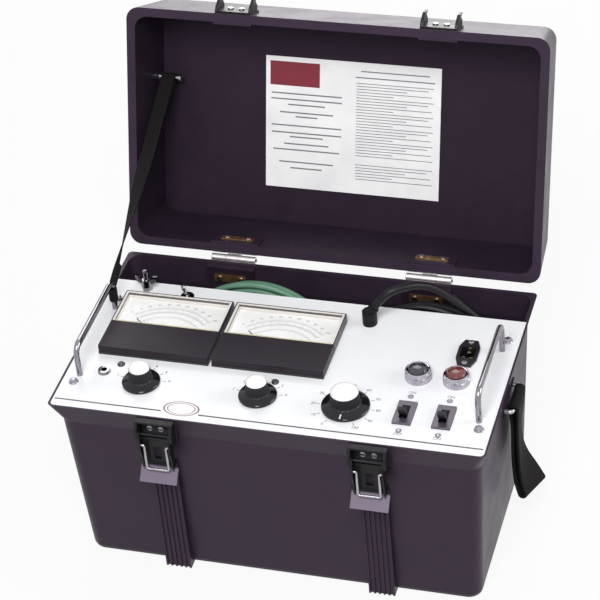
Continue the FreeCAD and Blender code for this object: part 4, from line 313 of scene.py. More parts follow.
def colour_of(name, description, code):
    """A colour that the user may change."""
    return bpy.props.FloatVectorProperty(
        name=name,
        description=description,
        default=linear(code),
        size=3,
        min=0.0,
        max=1.0,
        subtype="COLOR",
    )


class TesterSizes(bpy.types.PropertyGroup):
    """Sizes of the pieces made here."""

    test_lead: length_of("Test lead", "Thickness of the black test lead", 0.009)
    earth_lead: length_of("Earth lead", "Thickness of the green earth lead", 0.0066)
    stay_width: length_of("Stay width", "Width of the lid stay's webbing", 0.016)
    stay_thickness: length_of("Stay thickness", "Thickness of the lid stay's webbing", 0.0015)
    loop_width: length_of("Loop width", "Width of the carrying loops' webbing", 0.038)
    loop_thickness: length_of("Loop thickness", "Thickness of the carrying loops' webbing", 0.003)
    small_skirt: length_of("Small skirt", "Radius of the small knobs' skirts", 0.020)
    small_grip: length_of("Small grip", "Radius of the small knobs' grips", 0.0115)
    large_skirt: length_of("Large skirt", "Radius of the large knob's skirt", 0.025)
    large_grip: length_of("Large grip", "Radius of the large knob's grip", 0.015)
    knob_height: length_of("Knob height", "Height of every knob above its skirt's foot", 0.022)
    bezel_radius: length_of("Bezel radius", "Outer radius of the lamp bezels", 0.014)
    bezel_height: length_of("Bezel height", "Height of the lamp bezels", 0.012)
    print_height: length_of("Print height", "Thickness of printed lines and figures", 0.00005)
    grip_flutes: bpy.props.IntProperty(
        name="Grip flutes", description="Flutes round a knob's grip", default=24, min=6, max=60
    )
    bezel_ribs: bpy.props.IntProperty(
        name="Bezel ribs", description="Ribs round a lamp bezel", default=48, min=12, max=96
    )


class TesterColours(bpy.types.PropertyGroup):
    """Colours of the finishes."""

    case: colour_of("Case", "Moulded plastic of the tub and lid", "#2F2532")
    panel: colour_of("Panel", "Enamel of the front panel", "#EEEFF2")
    ink: colour_of("Ink", "Print on the panel", "#4A464E")
    meter_cover: colour_of("Meter cover", "Satin plastic of the meter covers", "#221B24")
    black: colour_of("Black", "Black plastic of knobs and fittings", "#17151A")
    webbing: colour_of("Webbing", "Webbing of the stay and carrying loops", "#120E10")
    earth_green: colour_of("Earth green", "Jacket of the earth lead", "#557C66")
    red_lens: colour_of("Red lens", "Lens of the red lamp", "#6C2422")


def add(tree, kind, inputs=None, stops=(), **settings):
    """Add a shader node, set its settings and stops, and give its inputs values or other nodes' outputs."""
    item = tree.nodes.new("ShaderNode" + kind)
    for name, value in settings.items():
        setattr(item, name, value)
    for name, value in (inputs or {}).items():
        if isinstance(value, bpy.types.NodeSocket):
            tree.links.new(value, item.inputs[name])
        else:
            item.inputs[name].default_value = value
    for number, (position, colour) in enumerate(stops):
        elements = item.color_ramp.elements
        element = elements[number] if number < 2 else elements.new(position)
        element.position = position
        element.color = (*colour, 1.0)
    return item


def new_material(name, colour, **values):
    """A material with its even values on the shader's own sockets, and its tree, shader and place."""
    made = bpy.data.materials.new(name)
    made.use_nodes = True
    tree = made.node_tree
    shader = tree.nodes["Principled BSDF"]
    shader.inputs["Base Color"].default_value = (*colour, 1.0)
    for word, value in values.items():
        shader.inputs[word.replace("_", " ")].default_value = value
    place = add(tree, "TexCoord").outputs["Object"]
    return tree, shader, place


def shade(colour, factor):
    """The same colour, lighter or darker."""
    return [min(1.0, channel * factor) for channel in colour]


def weather(tree, shader, place, colour, spread, patch, roughness, swing):
    """Uneven colour and sheen: patches that run from darker to lighter and from smoother to duller."""
    patches = add(tree, "TexNoise", {"Vector": place, "Scale": 1.0 / patch, "Detail": 5.0, "Roughness": 0.6})
    tone = add(
        tree,
        "ValToRGB",
        {"Fac": patches.outputs["Fac"]},
        stops=((0.3, shade(colour, 1.0 - spread)), (0.7, shade(colour, 1.0 + spread))),
    )
    tree.links.new(tone.outputs["Color"], shader.inputs["Base Color"])
    sheen = add(
        tree,
        "MapRange",
        {
            "Value": patches.outputs["Fac"],
            "From Min": 0.3,
            "From Max": 0.7,
            "To Min": roughness - swing,
            "To Max": roughness + swing,
        },
    )
    tree.links.new(sheen.outputs["Result"], shader.inputs["Roughness"])
    return tone


def pebble(tree, shader, place, size, depth):
    """Fine bumps of one size over the whole surface."""
    grain = add(tree, "TexNoise", {"Vector": place, "Scale": 1.0 / size, "Detail": 2.0})
    bump = add(tree, "Bump", {"Height": grain.outputs["Fac"], "Distance": depth})
    tree.links.new(bump.outputs["Normal"], shader.inputs["Normal"])


def plain_finish(name, colour, patch, roughness, swing, grain, depth, spread=0.1, **values):
    """A finish that needs only patches of tone and sheen and one fine grain."""
    tree, shader, place = new_material(name, colour, **values)
    weather(tree, shader, place, colour, spread, patch, roughness, swing)
    pebble(tree, shader, place, grain, depth)


def beyond(tree, place, axis, limit, blend):
    """How far a place lies past a limit along one axis, from 0 to 1 over a short blend."""
    along = add(tree, "SeparateXYZ", {"Vector": place}).outputs[axis]
    limits = {"Value": along, "From Min": limit - blend, "From Max": limit + blend}
    return add(tree, "MapRange", limits).outputs["Result"]


def make_case_plastic(name, colour, centre):
    """Leather-grained moulding: small round cells that break the light, paler patches, and painted shade that
    darkens the inside.
    """
    tree, shader, place = new_material(name, colour, Specular_Tint=(*linear("#F9DDFF"), 1.0))
    tone = weather(tree, shader, place, colour, 0.13, 0.045, 0.42, 0.06).outputs["Color"]
    facing = place.node.outputs["Normal"]
    outward = add(tree, "VectorMath", {0: place, 1: centre}, operation="SUBTRACT").outputs["Vector"]
    turned_out = add(tree, "VectorMath", {0: outward, 1: facing}, operation="DOT_PRODUCT").outputs["Value"]
    turned_in = add(tree, "Math", {0: turned_out, 1: 0.0}, operation="LESS_THAN").outputs["Value"]
    depth = add(tree, "SeparateXYZ", {"Vector": place}).outputs["Y"]
    behind = add(tree, "Math", {0: depth, 1: INSIDE_FRONT}, operation="GREATER_THAN").outputs["Value"]
    inside = add(tree, "Math", {0: turned_in, 1: behind}, operation="MULTIPLY").outputs["Value"]
    # Painted shade: the inside walls are darkened, standing in for the shadow the case casts into itself.
    keep = add(tree, "MapRange", {"Value": inside, "To Min": 1.0, "To Max": INSIDE_PAINTED_SHADE}).outputs["Result"]
    painted_shade_colour = add(tree, "VectorMath", {0: tone, "Scale": keep}, operation="SCALE").outputs["Vector"]
    tree.links.new(painted_shade_colour, shader.inputs["Base Color"])
    gloss = add(tree, "MapRange", {"Value": inside, "To Min": OUTSIDE_GLOSS, "To Max": INSIDE_GLOSS})
    tree.links.new(gloss.outputs["Result"], shader.inputs["Specular IOR Level"])
    # A moulded grain of about 0.8 mm is too fine to show, so it is drawn about twice as coarse.
    cells = add(tree, "TexVoronoi", {"Vector": place, "Scale": 1.0 / CASE_GRAIN}, feature="SMOOTH_F1")
    bump = add(tree, "Bump", {"Height": cells.outputs["Distance"], "Distance": CASE_GRAIN_DEPTH})
    tree.links.new(bump.outputs["Normal"], shader.inputs["Normal"])


def chromate_film(tree, place):
    """The clouds of a yellow passivated surface."""
    clouds = add(tree, "TexNoise", {"Vector": place, "Scale": 1.0 / 0.009, "Detail": 3.0, "Distortion": 0.8})
    film = add(
        tree,
        "ValToRGB",
        {"Fac": clouds.outputs["Fac"]},
        stops=((0.35, linear("#8E6D3E")), (0.65, linear("#B39763")), (0.5, linear("#A07A5C"))),
    )
    return film.outputs["Color"]


def make_chromate_steel():
    """Yellow passivated steel: brown gold with rosy and greenish clouds."""
    colour = linear("#A88552")
    tree, shader, place = new_material("yellow_chromate_steel", colour, Metallic=0.85)
    weather(tree, shader, place, colour, 0.1, 0.02, 0.34, 0.08)
    tree.links.new(chromate_film(tree, place), shader.inputs["Base Color"])
    pebble(tree, shader, place, 0.002, 0.00002)


def make_hinge_steel():
    """Hinges: bright nickel barrels and leaves outside, yellow passivated backing plates inside the tub."""
    colour = linear("#CFCBCC")
    tree, shader, place = new_material("plated_hinge_steel", colour, Metallic=0.85)
    nickel = weather(tree, shader, place, colour, 0.08, 0.01, 0.34, 0.06).outputs["Color"]
    outside = beyond(tree, place, "Y", HINGE_OUTSIDE, 0.001)
    both = add(tree, "MixRGB", {"Fac": outside, "Color1": chromate_film(tree, place), "Color2": nickel})
    tree.links.new(both.outputs["Color"], shader.inputs["Base Color"])
    pebble(tree, shader, place, 0.002, 0.00002)


def make_lever_paint():
    """Latch levers: black paint, with a painted grey highlight over the finger lip."""
    colour = linear("#121013")
    tree, shader, place = new_material("rubbed_lever_paint", colour, Specular_IOR_Level=0.25)
    black = weather(tree, shader, place, colour, 0.15, 0.012, 0.4, 0.08).outputs["Color"]
    # Painted highlight: below this height the finger lip is grey, standing in for the light it catches from
    # above.
    painted = beyond(tree, place, "Z", LEVER_LIP, 0.0012)
    both = add(tree, "MixRGB", {"Fac": painted, "Color1": (*linear("#786D7E"), 1.0), "Color2": black})
    tree.links.new(both.outputs["Color"], shader.inputs["Base Color"])
    pebble(tree, shader, place, 0.002, 0.00004)


def make_knob_black(colour):
    """Knob mouldings and switch levers: a polished skirt under a grip that handling has left dull."""
    tree, shader, place = new_material("black_knob_gloss", colour, Specular_IOR_Level=0.35)
    weather(tree, shader, place, colour, 0.1, 0.02, 0.14, 0.05)
    raised = beyond(tree, place, "Z", PANEL_TOP + GRIP_START, 0.0006)
    dulled = add(tree, "MapRange", {"Value": raised, "To Min": 0.10, "To Max": 0.55})
    tree.links.new(dulled.outputs["Result"], shader.inputs["Roughness"])
    pebble(tree, shader, place, 0.004, 0.00001)


def make_turned_aluminium(name, centre):
    """Spun metal cap: fine rings about the knob's own axis."""
    colour = linear("#F7F6F6")
    tree, shader, place = new_material(name, colour, Metallic=0.4, Roughness=0.45)
    moved = add(tree, "Mapping", {"Vector": place, "Location": (-centre[0], -centre[1], 0.0)})
    fineness = WAVE_BAND / CAP_RING_SPACING
    rings = add(
        tree,
        "TexWave",
        {"Vector": moved.outputs["Vector"], "Scale": fineness, "Distortion": 0.4, "Detail": 2.0},
        wave_type="RINGS",
        rings_direction="Z",
    )
    bump = add(tree, "Bump", {"Height": rings.outputs["Fac"], "Distance": 0.00003})
    tree.links.new(bump.outputs["Normal"], shader.inputs["Normal"])


def make_meter_case():
    """Meter cases: black moulding, a cream band on top of the rim that is a painted highlight for its
    bevelled frame, and pale walls round the dial.
    """
    colour = linear("#1F1B20")
    tree, shader, place = new_material("trimmed_meter_case", colour)
    black = weather(tree, shader, place, colour, 0.1, 0.03, 0.3, 0.05).outputs["Color"]
    along = add(tree, "SeparateXYZ", {"Vector": place}).outputs
    middle = (METERS["left"] + METERS["right"]) / 2
    off_middle = add(tree, "Math", {0: along["X"], 1: middle}, operation="SUBTRACT").outputs["Value"]
    one_side = add(tree, "Math", {0: off_middle}, operation="ABSOLUTE").outputs["Value"]
    apart = METERS["right"] - middle
    off_meter = add(tree, "Math", {0: one_side, 1: apart}, operation="SUBTRACT").outputs["Value"]
    reach = add(tree, "Math", {0: off_meter}, operation="ABSOLUTE").outputs["Value"]
    # Painted highlight: the rim's top is pale cream, standing in for the light its bevelled frame reflects.
    trim = {0: along["Z"], 1: METER_TOP - METER_RIM_HIGHLIGHT}
    walls = {0: along["Z"], 1: METER_TOP - METER_WALLS}
    high = add(tree, "Math", trim, operation="GREATER_THAN").outputs["Value"]
    low = add(tree, "Math", walls, operation="LESS_THAN").outputs["Value"]
    pale = add(tree, "Math", {0: low, 1: high}, operation="MAXIMUM").outputs["Value"]
    limits = (
        (reach, "LESS_THAN", METER_HALF - METER_RIM),
        (along["Y"], "LESS_THAN", METER_BACK - METER_RIM),
        (along["Y"], "GREATER_THAN", COVER_BACK),
    )
    for value, side, limit in limits:
        within = add(tree, "Math", {0: value, 1: limit}, operation=side).outputs["Value"]
        pale = add(tree, "Math", {0: pale, 1: within}, operation="MULTIPLY").outputs["Value"]
    both = add(tree, "MixRGB", {"Fac": pale, "Color1": black, "Color2": (*linear("#E6E0DA"), 1.0)})
    tree.links.new(both.outputs["Color"], shader.inputs["Base Color"])
    pebble(tree, shader, place, 0.002, 0.00002)


def make_webbing(name, colour, width, length):
    """Woven nylon: ribs across the strap and yarns along it, both on the strap's own map, with painted shade
    in the weave's hollows and a painted highlight on its raised yarns.
    """
    tree, shader, _ = new_material(name, colour, Roughness=0.8, Specular_IOR_Level=0.2)
    flat = add(tree, "TexCoord").outputs["UV"]
    laid = add(tree, "Mapping", {"Vector": flat, "Scale": (length, width, 1.0)}).outputs["Vector"]
    ribs = add(
        tree,
        "TexWave",
        {"Vector": laid, "Scale": WAVE_BAND / RIB_SPACING, "Distortion": 0.6, "Detail": 1.0},
        bands_direction="X",
    )
    yarns = add(
        tree,
        "TexWave",
        {"Vector": laid, "Scale": WAVE_BAND / YARN_SPACING, "Distortion": 0.4, "Detail": 1.0},
        bands_direction="Y",
    )
    crossed = {0: ribs.outputs["Fac"], 1: yarns.outputs["Fac"]}
    woven = add(tree, "Math", crossed, operation="MULTIPLY").outputs["Value"]
    bump = add(tree, "Bump", {"Height": woven, "Distance": 0.0005})
    tree.links.new(bump.outputs["Normal"], shader.inputs["Normal"])
    # Painted shade and highlight: the tone follows the weave's height, darker in the hollows and lighter on
    # the raised yarns.
    tone = add(
        tree,
        "ValToRGB",
        {"Fac": woven},
        stops=((0.0, shade(colour, 0.6)), (1.0, shade(colour, 1.7))),
    )
    tree.links.new(tone.outputs["Color"], shader.inputs["Base Color"])


def make_lens(name, colour, facet_highlight):
    """Moulded lamp lens: clear coat over a coloured body with a pebbled inside, its facets lighter in the
    middle and darker at the edges as painted highlight and painted shade.
    """
    values = {"Roughness": 0.22, "Coat_Weight": 1.0, "Coat_Roughness": 0.06, "IOR": 1.5}
    tree, shader, place = new_material(name, colour, **values)
    facets = add(tree, "TexVoronoi", {"Vector": place, "Scale": 1.0 / 0.0035})
    # Painted highlight and shade: each facet is lighter at its middle and darker at its edge, standing in for
    # light caught in the lens.
    tone = add(
        tree,
        "ValToRGB",
        {"Fac": facets.outputs["Distance"]},
        stops=((0.0, shade(colour, facet_highlight)), (0.7, shade(colour, 0.6))),
    )
    tree.links.new(tone.outputs["Color"], shader.inputs["Base Color"])
    bump = add(tree, "Bump", {"Height": facets.outputs["Distance"], "Distance": 0.0003})
    tree.links.new(bump.outputs["Normal"], shader.inputs["Normal"])


def make_window():
    """Clear sheet over the dial: mostly see-through, with a bright even reflection and a little dust."""
    tree, shader, place = new_material("clear_meter_window", linear("#F4F5F6"), Alpha=0.05, IOR=1.49)
    dust = add(tree, "TexNoise", {"Vector": place, "Scale": 1.0 / 0.012, "Detail": 6.0})
    sheen = add(tree, "MapRange", {"Value": dust.outputs["Fac"], "To Min": 0.02, "To Max": 0.12})
    tree.links.new(sheen.outputs["Result"], shader.inputs["Roughness"])


# Finishes with patches and one grain: colour, patch, roughness, swing, grain, depth and shader values.
# The grain of paint, paper and plate is too fine to show, so it is drawn 1.5 to 12 mm wide.
PLAIN_FINISHES = {
    # Zinc plate: a soft grey shine with cloudy patches.
    "bright_zinc_steel": ("#AFACB0", 0.01, 0.28, 0.08, 0.002, 0.00002, {"Metallic": 1.0}),
    # Polished chrome: a clear mirror with slow waves from drawing and bending.
    "chrome_plate": ("#938F95", 0.02, 0.09, 0.05, 0.012, 0.00002, {"Metallic": 1.0}),
    # Polished nickel: a mirror a little softer and warmer than chrome.
    "bezel_nickel": ("#B4B0B8", 0.02, 0.14, 0.05, 0.012, 0.00002, {"Metallic": 1.0}),
    # Satin nickel: a blurred grey shine.
    "satin_nickel": ("#A29EA6", 0.006, 0.3, 0.06, 0.002, 0.00002, {"Metallic": 1.0}),
    # Turned brass: pale gold with a soft shine.
    "turned_brass": ("#D9C79A", 0.01, 0.25, 0.08, 0.002, 0.00002, {"Metallic": 1.0}),
    # Baked paint on pressed steel: near black with a low, slightly uneven sheen.
    "black_latch_paint": ("#151217", 0.012, 0.4, 0.08, 0.002, 0.00004, {"Specular_IOR_Level": 0.25}),
    # Coated dial paper: matt white.
    "dial_card": ("#FBFBF9", 0.03, 0.6, 0.06, 0.002, 0.00001, {}),
    # Coated card: white with a faint sheen and faint waves.
    "lid_card": ("#FBFAFC", 0.05, 0.5, 0.08, 0.003, 0.00003, {}),
    # Pressed bakelite: black with a fairly clear shine.
    "moulded_bakelite": ("#1A171B", 0.02, 0.3, 0.06, 0.003, 0.00002, {}),
    # Dull plated steel: dark grey with a soft shine.
    "grey_breaker_steel": ("#6A646E", 0.01, 0.36, 0.08, 0.002, 0.00003, {"Metallic": 0.7}),
    # Rolled sheet steel: mid grey with a blurred shine.
    "grey_sheet_steel": ("#8C8A90", 0.03, 0.42, 0.08, 0.004, 0.00003, {"Metallic": 0.8}),
    # Moulded rubber: black and dull.
    "black_cable_rubber": ("#100E11", 0.02, 0.55, 0.1, 0.002, 0.00004, {"Specular_IOR_Level": 0.2}),
    # Extruded rubber: black with a long soft highlight.
    "test_lead_jacket": ("#121014", 0.02, 0.42, 0.08, 0.002, 0.00003, {"Specular_IOR_Level": 0.25}),
    # Enamelled copper wire: red brown with a varnish shine.
    "enamelled_copper": ("#9A5A32", 0.01, 0.35, 0.08, 0.0015, 0.00006, {"Metallic": 0.6}),
    # Resin board: dull yellow brown.
    "circuit_board": ("#6E5A34", 0.02, 0.5, 0.06, 0.002, 0.00003, {}),
    # Filling paint: matt white.
    "white_index_paint": ("#EFEEEA", 0.01, 0.5, 0.05, 0.002, 0.00001, {}),
    # Painted highlight: matt cream, standing in for the light caught by a cover's rear edge.
    "cream_edge_paint": ("#D8CFA6", 0.01, 0.5, 0.05, 0.002, 0.00001, {}),
    # Printing inks: matt greys, reddish brown and maroon.
    "dial_ink": ("#98929A", 0.004, 0.5, 0.05, 0.002, 0.00001, {}),
    "card_ink": ("#77717B", 0.004, 0.5, 0.05, 0.002, 0.00001, {}),
    "sienna_print": ("#7B4A40", 0.01, 0.5, 0.05, 0.002, 0.00001, {}),
    "maroon_print": ("#7A1E30", 0.01, 0.5, 0.05, 0.002, 0.00001, {}),
    # Sprayed enamel: near black with a soft shine.
    "pointer_enamel": ("#2A2628", 0.01, 0.4, 0.05, 0.002, 0.00001, {}),
}

# Which finish each kept CAD node wears.
DRESS = {
    "moulded_tub_plastic": ("case_tub",),
    "moulded_lid_plastic": ("case_lid",),
    "yellow_chromate_steel": ("lid_backers",),
    "plated_hinge_steel": ("hinge_leaves_case", "hinge_leaves_lid"),
    "bright_zinc_steel": (
        "case_rivets",
        "lid_rivets",
        "latch_bail_left",
        "latch_bail_right",
        "strap_bars",
        "earth_lugs",
        "toggle_bat",
    ),
    "chrome_plate": ("panel_handles", "wing_nut", "earth_terminal", "toggle_switch", "recorder_jack"),
    "satin_nickel": ("panel_screws",),
    "turned_brass": ("inlet_pins",),
    "black_latch_paint": ("latch_brackets", "lid_keepers", "pivot_pins"),
    "rubbed_lever_paint": ("latch_lever_left", "latch_lever_right"),
    "white_panel_enamel": ("front_panel",),
    "trimmed_meter_case": ("meter_cases",),
    "satin_cover_plastic": ("meter_covers",),
    "clear_meter_window": ("meter_windows",),
    "dial_card": ("meter_dials",),
    "pointer_enamel": ("meter_needle_left", "meter_needle_right"),
    "lid_card": ("instruction_card",),
    "moulded_bakelite": ("mains_inlet", "zero_plugs", "rotary_switches", "lamp_holders", "meter_movements"),
    "grey_breaker_steel": ("breakers",),
    "black_knob_gloss": ("breaker_lever_left", "breaker_lever_right"),
    "smoked_lens": ("lamp_lens_dark",),
    "red_lamp_lens": ("lamp_lens_red",),
    "black_cable_rubber": ("lead_gland", "test_lead_sleeve"),
    "grey_sheet_steel": ("lead_well", "transformer_core", "variable_transformer"),
    "enamelled_copper": ("transformer_winding",),
    "circuit_board": ("rectifier_board",),
}

# Kept CAD parts whose sharp edges are eased a little, how far, and the gap within which faces join first.
EASED = {"meter_cases": 0.0005, "meter_covers": 0.0010, "breakers": 0.0008}
EASED_JOIN = 0.00001


def model_mode():
    """Go back to object mode with nothing selected."""
    if bpy.context.object and bpy.context.object.mode != "OBJECT":
        bpy.ops.object.mode_set(mode="OBJECT")
    bpy.ops.object.select_all(action="DESELECT")


def edit_all(piece):
    """Open a piece for editing with everything in it selected."""
    model_mode()
    piece.select_set(True)
    bpy.context.view_layer.objects.active = piece
    bpy.ops.object.mode_set(mode="EDIT")
    bpy.ops.mesh.select_mode(type="VERT")
    bpy.ops.mesh.select_all(action="SELECT")


def edit_where(piece, test):
    """Open a piece for editing with only the vertices selected whose place passes the test."""
    edit_all(piece)
    bpy.ops.mesh.select_all(action="DESELECT")
    bpy.ops.object.mode_set(mode="OBJECT")
    for vertex in piece.data.vertices:
        vertex.select = test(vertex.co)
    bpy.ops.object.mode_set(mode="EDIT")


def settle(piece, name, finish, body, angle):
    """Put a piece's place into its mesh, smooth, name and finish it, and set it on its body."""
    model_mode()
    piece.select_set(True)
    bpy.context.view_layer.objects.active = piece
    bpy.ops.object.transform_apply(location=True, rotation=True, scale=True)
    if angle:
        bpy.ops.object.shade_smooth_by_angle(angle=math.radians(angle))
    piece.name = name
    piece.data.name = name
    piece.data.materials.clear()
    piece.data.materials.append(bpy.data.materials[finish])
    if body:
        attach(piece, body)
    return piece


def turned(rings, sides, centre, foot):
    """Raise a turned solid from a round plate; each ring is a radius and a height above the foot."""
    model_mode()
    first_radius, first_height = rings[0]
    place = (centre[0], centre[1], foot + first_height)
    bpy.ops.mesh.primitive_circle_add(vertices=sides, radius=first_radius, fill_type="NGON", location=place)
    piece = bpy.context.object
    bpy.ops.object.transform_apply(location=True, rotation=True, scale=True)
    edit_all(piece)
    for (radius, height), (next_radius, next_height) in zip(rings, rings[1:]):
        rise = {"value": (0.0, 0.0, next_height - height)}
        bpy.ops.mesh.extrude_region_move(TRANSFORM_OT_translate=rise)
        scale = next_radius / radius
        middle = (centre[0], centre[1], foot + next_height)
        bpy.ops.transform.resize(value=(scale, scale, 1.0), center_override=middle)
    bpy.ops.mesh.select_all(action="SELECT")
    bpy.ops.mesh.normals_make_consistent(inside=False)
    model_mode()
    return piece


def flute(piece, centre, low, high, count, keep):
    """Draw every other vertex of a turned wall towards the axis, between two heights."""

    def hollow(place):
        """Whether a vertex lies at the bottom of a flute."""
        angle = math.atan2(place.y - centre[1], place.x - centre[0])
        step = round(angle / (math.pi / count))
        return low < place.z < high and step % 2 == 1

    edit_where(piece, hollow)
    bpy.ops.transform.resize(value=(keep, keep, 1.0), center_override=(centre[0], centre[1], low))
    model_mode()


def slab(size, centre, rounding=0.0):
    """A block of one size, with all its edges rounded where a rounding is given."""
    model_mode()
    bpy.ops.mesh.primitive_cube_add(size=1.0, location=centre, scale=size)
    piece = bpy.context.object
    bpy.ops.object.transform_apply(location=True, rotation=True, scale=True)
    if rounding:
        edit_all(piece)
        bpy.ops.mesh.bevel(offset=rounding, segments=2, affect="EDGES")
        model_mode()
    return piece


def repeat(piece, moves):
    """Copy a piece to each move, each copy with its own mesh, and join them all into one."""
    copies = []
    for move in moves:
        copy = piece.copy()
        copy.data = piece.data.copy()
        copy.data.transform(move)
        bpy.context.collection.objects.link(copy)
        copies.append(copy)
    bpy.data.objects.remove(piece)
    return join(copies)


def join(pieces):
    """Join pieces into the first of them."""
    model_mode()
    for piece in pieces:
        piece.select_set(True)
    bpy.context.view_layer.objects.active = pieces[0]
    if len(pieces) > 1:
        bpy.ops.object.join()
    return bpy.context.object


def turn_about(centre, degrees):
    """A turn about an upright axis through a point of the panel."""
    there = Matrix.Translation((centre[0], centre[1], 0.0))
    return there @ Matrix.Rotation(math.radians(degrees), 4, "Z") @ there.inverted()


def on_circle(centre, reach, turns):
    """Places on a circle of the panel or a dial, one for each turn in degrees."""
    angles = [math.radians(turn) for turn in turns]
    return [(centre[0] + reach * math.cos(angle), centre[1] + reach * math.sin(angle)) for angle in angles]


def figures(words, places, size, height, thick):
    """Printed figures that lie flat on the panel or a dial, made into one mesh."""
    made = []
    for word, place in zip(words, places):
        model_mode()
        bpy.ops.object.text_add(location=(place[0], place[1], height))
        text = bpy.context.object
        text.data.body = word
        text.data.size = size
        text.data.extrude = thick / 2
        text.data.align_x = "CENTER"
        text.data.align_y = "CENTER"
        bpy.ops.object.convert(target="MESH")
        bpy.ops.object.transform_apply(location=True, rotation=True, scale=True)
        made.append(bpy.context.object)
    return join(made)


def ring_band(centre, inner, outer, first, last, height):
    """A flat printed arc between two angles, cut from a ring that stays whole where both are the same."""
    model_mode()
    bpy.ops.mesh.primitive_circle_add(vertices=120, radius=inner, location=(centre[0], centre[1], height))
    piece = bpy.context.object
    bpy.ops.object.transform_apply(location=True, rotation=True, scale=True)
    edit_all(piece)
    middle = (centre[0], centre[1], height)
    scale = outer / inner
    bpy.ops.mesh.extrude_region_move()
    bpy.ops.transform.resize(value=(scale, scale, 1.0), center_override=middle)
    cuts = ((first, -90.0), (last, 90.0)) if first != last else ()
    for angle, side in cuts:
        away = math.radians(angle + side)
        bpy.ops.mesh.select_all(action="SELECT")
        normal = (math.cos(away), math.sin(away), 0.0)
        bpy.ops.mesh.bisect(plane_co=middle, plane_no=normal, clear_outer=True)
    model_mode()
    return piece


def coil_points(coil):
    """A flat coil of two layers, wound inward, across, and outward again, in half turns."""
    near, far = coil["layers"]
    size = coil["radius"]
    lead_in = coil["lead_in"]
    marks = []
    if lead_in:
        marks.append((-90.0 + lead_in, size + coil["pitch"] * lead_in / 360.0, near))
    angle = -90.0
    marks.append((angle, size, near))
    steps = [(-0.5, near)] * COIL_INWARD + [(0.0, far)] + [(0.5, far)] * COIL_OUTWARD
    for share, layer in steps:
        angle -= 180.0
        size += share * coil["pitch"]
        marks.append((angle, size, layer))
    # A quadratic spline runs a little inside its control points.
    spread = 8.0 / (6.0 + 2.0 * math.cos(2.0 * math.pi / POINTS_PER_TURN))
    points = []
    for (angle, size, layer), (next_angle, next_size, next_layer) in zip(marks, marks[1:]):
        count = round(abs(next_angle - angle) / 360.0 * POINTS_PER_TURN)
        for number in range(count):
            share = number / count
            turn = math.radians(angle + (next_angle - angle) * share)
            reach = (size + (next_size - size) * share) * spread
            depth = layer + (next_layer - layer) * share
            rise = (reach * math.sin(turn) + coil["radius"]) * COIL_STRETCH - coil["radius"]
            points.append((coil["centre"][0] + reach * math.cos(turn), depth, coil["centre"][1] + rise))
    return points


def lead(name, points, thickness, finish, body):
    """A round lead that follows its route as one smooth spline."""
    model_mode()
    curve = bpy.data.curves.new(name, "CURVE")
    curve.dimensions = "3D"
    curve.bevel_depth = thickness / 2
    curve.bevel_resolution = 4
    curve.resolution_u = 6
    curve.use_fill_caps = True
    spline = curve.splines.new("NURBS")
    spline.points.add(len(points) - 1)
    for point, place in zip(spline.points, points):
        point.co = (*place, 1.0)
    spline.order_u = 3
    spline.use_endpoint_u = True
    piece = bpy.data.objects.new(name, curve)
    bpy.context.collection.objects.link(piece)
    curve.materials.append(bpy.data.materials[finish])
    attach(piece, body)
    return piece


def strap(line, across, thickness):
    """Webbing along a line of places: a flat grid laid along it, then given its thickness."""
    model_mode()
    count = len(line) - 1
    bpy.ops.mesh.primitive_grid_add(x_subdivisions=count, y_subdivisions=6, size=1.0, calc_uvs=True)
    piece = bpy.context.object
    for vertex in piece.data.vertices:
        number = round((vertex.co.x + 0.5) * count)
        vertex.co = line[number] + across[number] * vertex.co.y
    thicken = piece.modifiers.new("thickness", "SOLIDIFY")
    thicken.thickness = thickness
    thicken.offset = 0.0
    bpy.ops.object.modifier_apply(modifier=thicken.name)
    edges = piece.modifiers.new("soft edges", "BEVEL")
    edges.width = thickness * 0.3
    edges.segments = 2
    edges.angle_limit = math.radians(50.0)
    bpy.ops.object.modifier_apply(modifier=edges.name)
    return piece


def smooth_run(places, count):
    """Points along a smooth curve through a few places, without its first."""
    marks = [Vector(place) for place in places]
    marks = [marks[0] * 2 - marks[1]] + marks + [marks[-1] * 2 - marks[-2]]
    pieces = len(places) - 1
    found = []
    for number in range(1, count + 1):
        share = number / count * pieces
        first = min(int(share), pieces - 1)
        part = share - first
        before, start, end, after = marks[first:first + 4]
        bend = before * 2 - start * 5 + end * 4 - after
        swing = start * 3 - before - end * 3 + after
        found.append((start * 2 + (end - before) * part + bend * part * part + swing * part ** 3) / 2)
    return found


def background_rays(tree):
    """1 for the rays that show the white background: the camera's, reflections and those through glass."""
    rays = add(tree, "LightPath").outputs
    direct = {0: rays["Is Camera Ray"], 1: rays["Is Glossy Ray"]}
    shown = add(tree, "Math", direct, operation="MAXIMUM").outputs["Value"]
    through = {0: shown, 1: rays["Is Transmission Ray"]}
    return add(tree, "Math", through, operation="MAXIMUM").outputs["Value"]


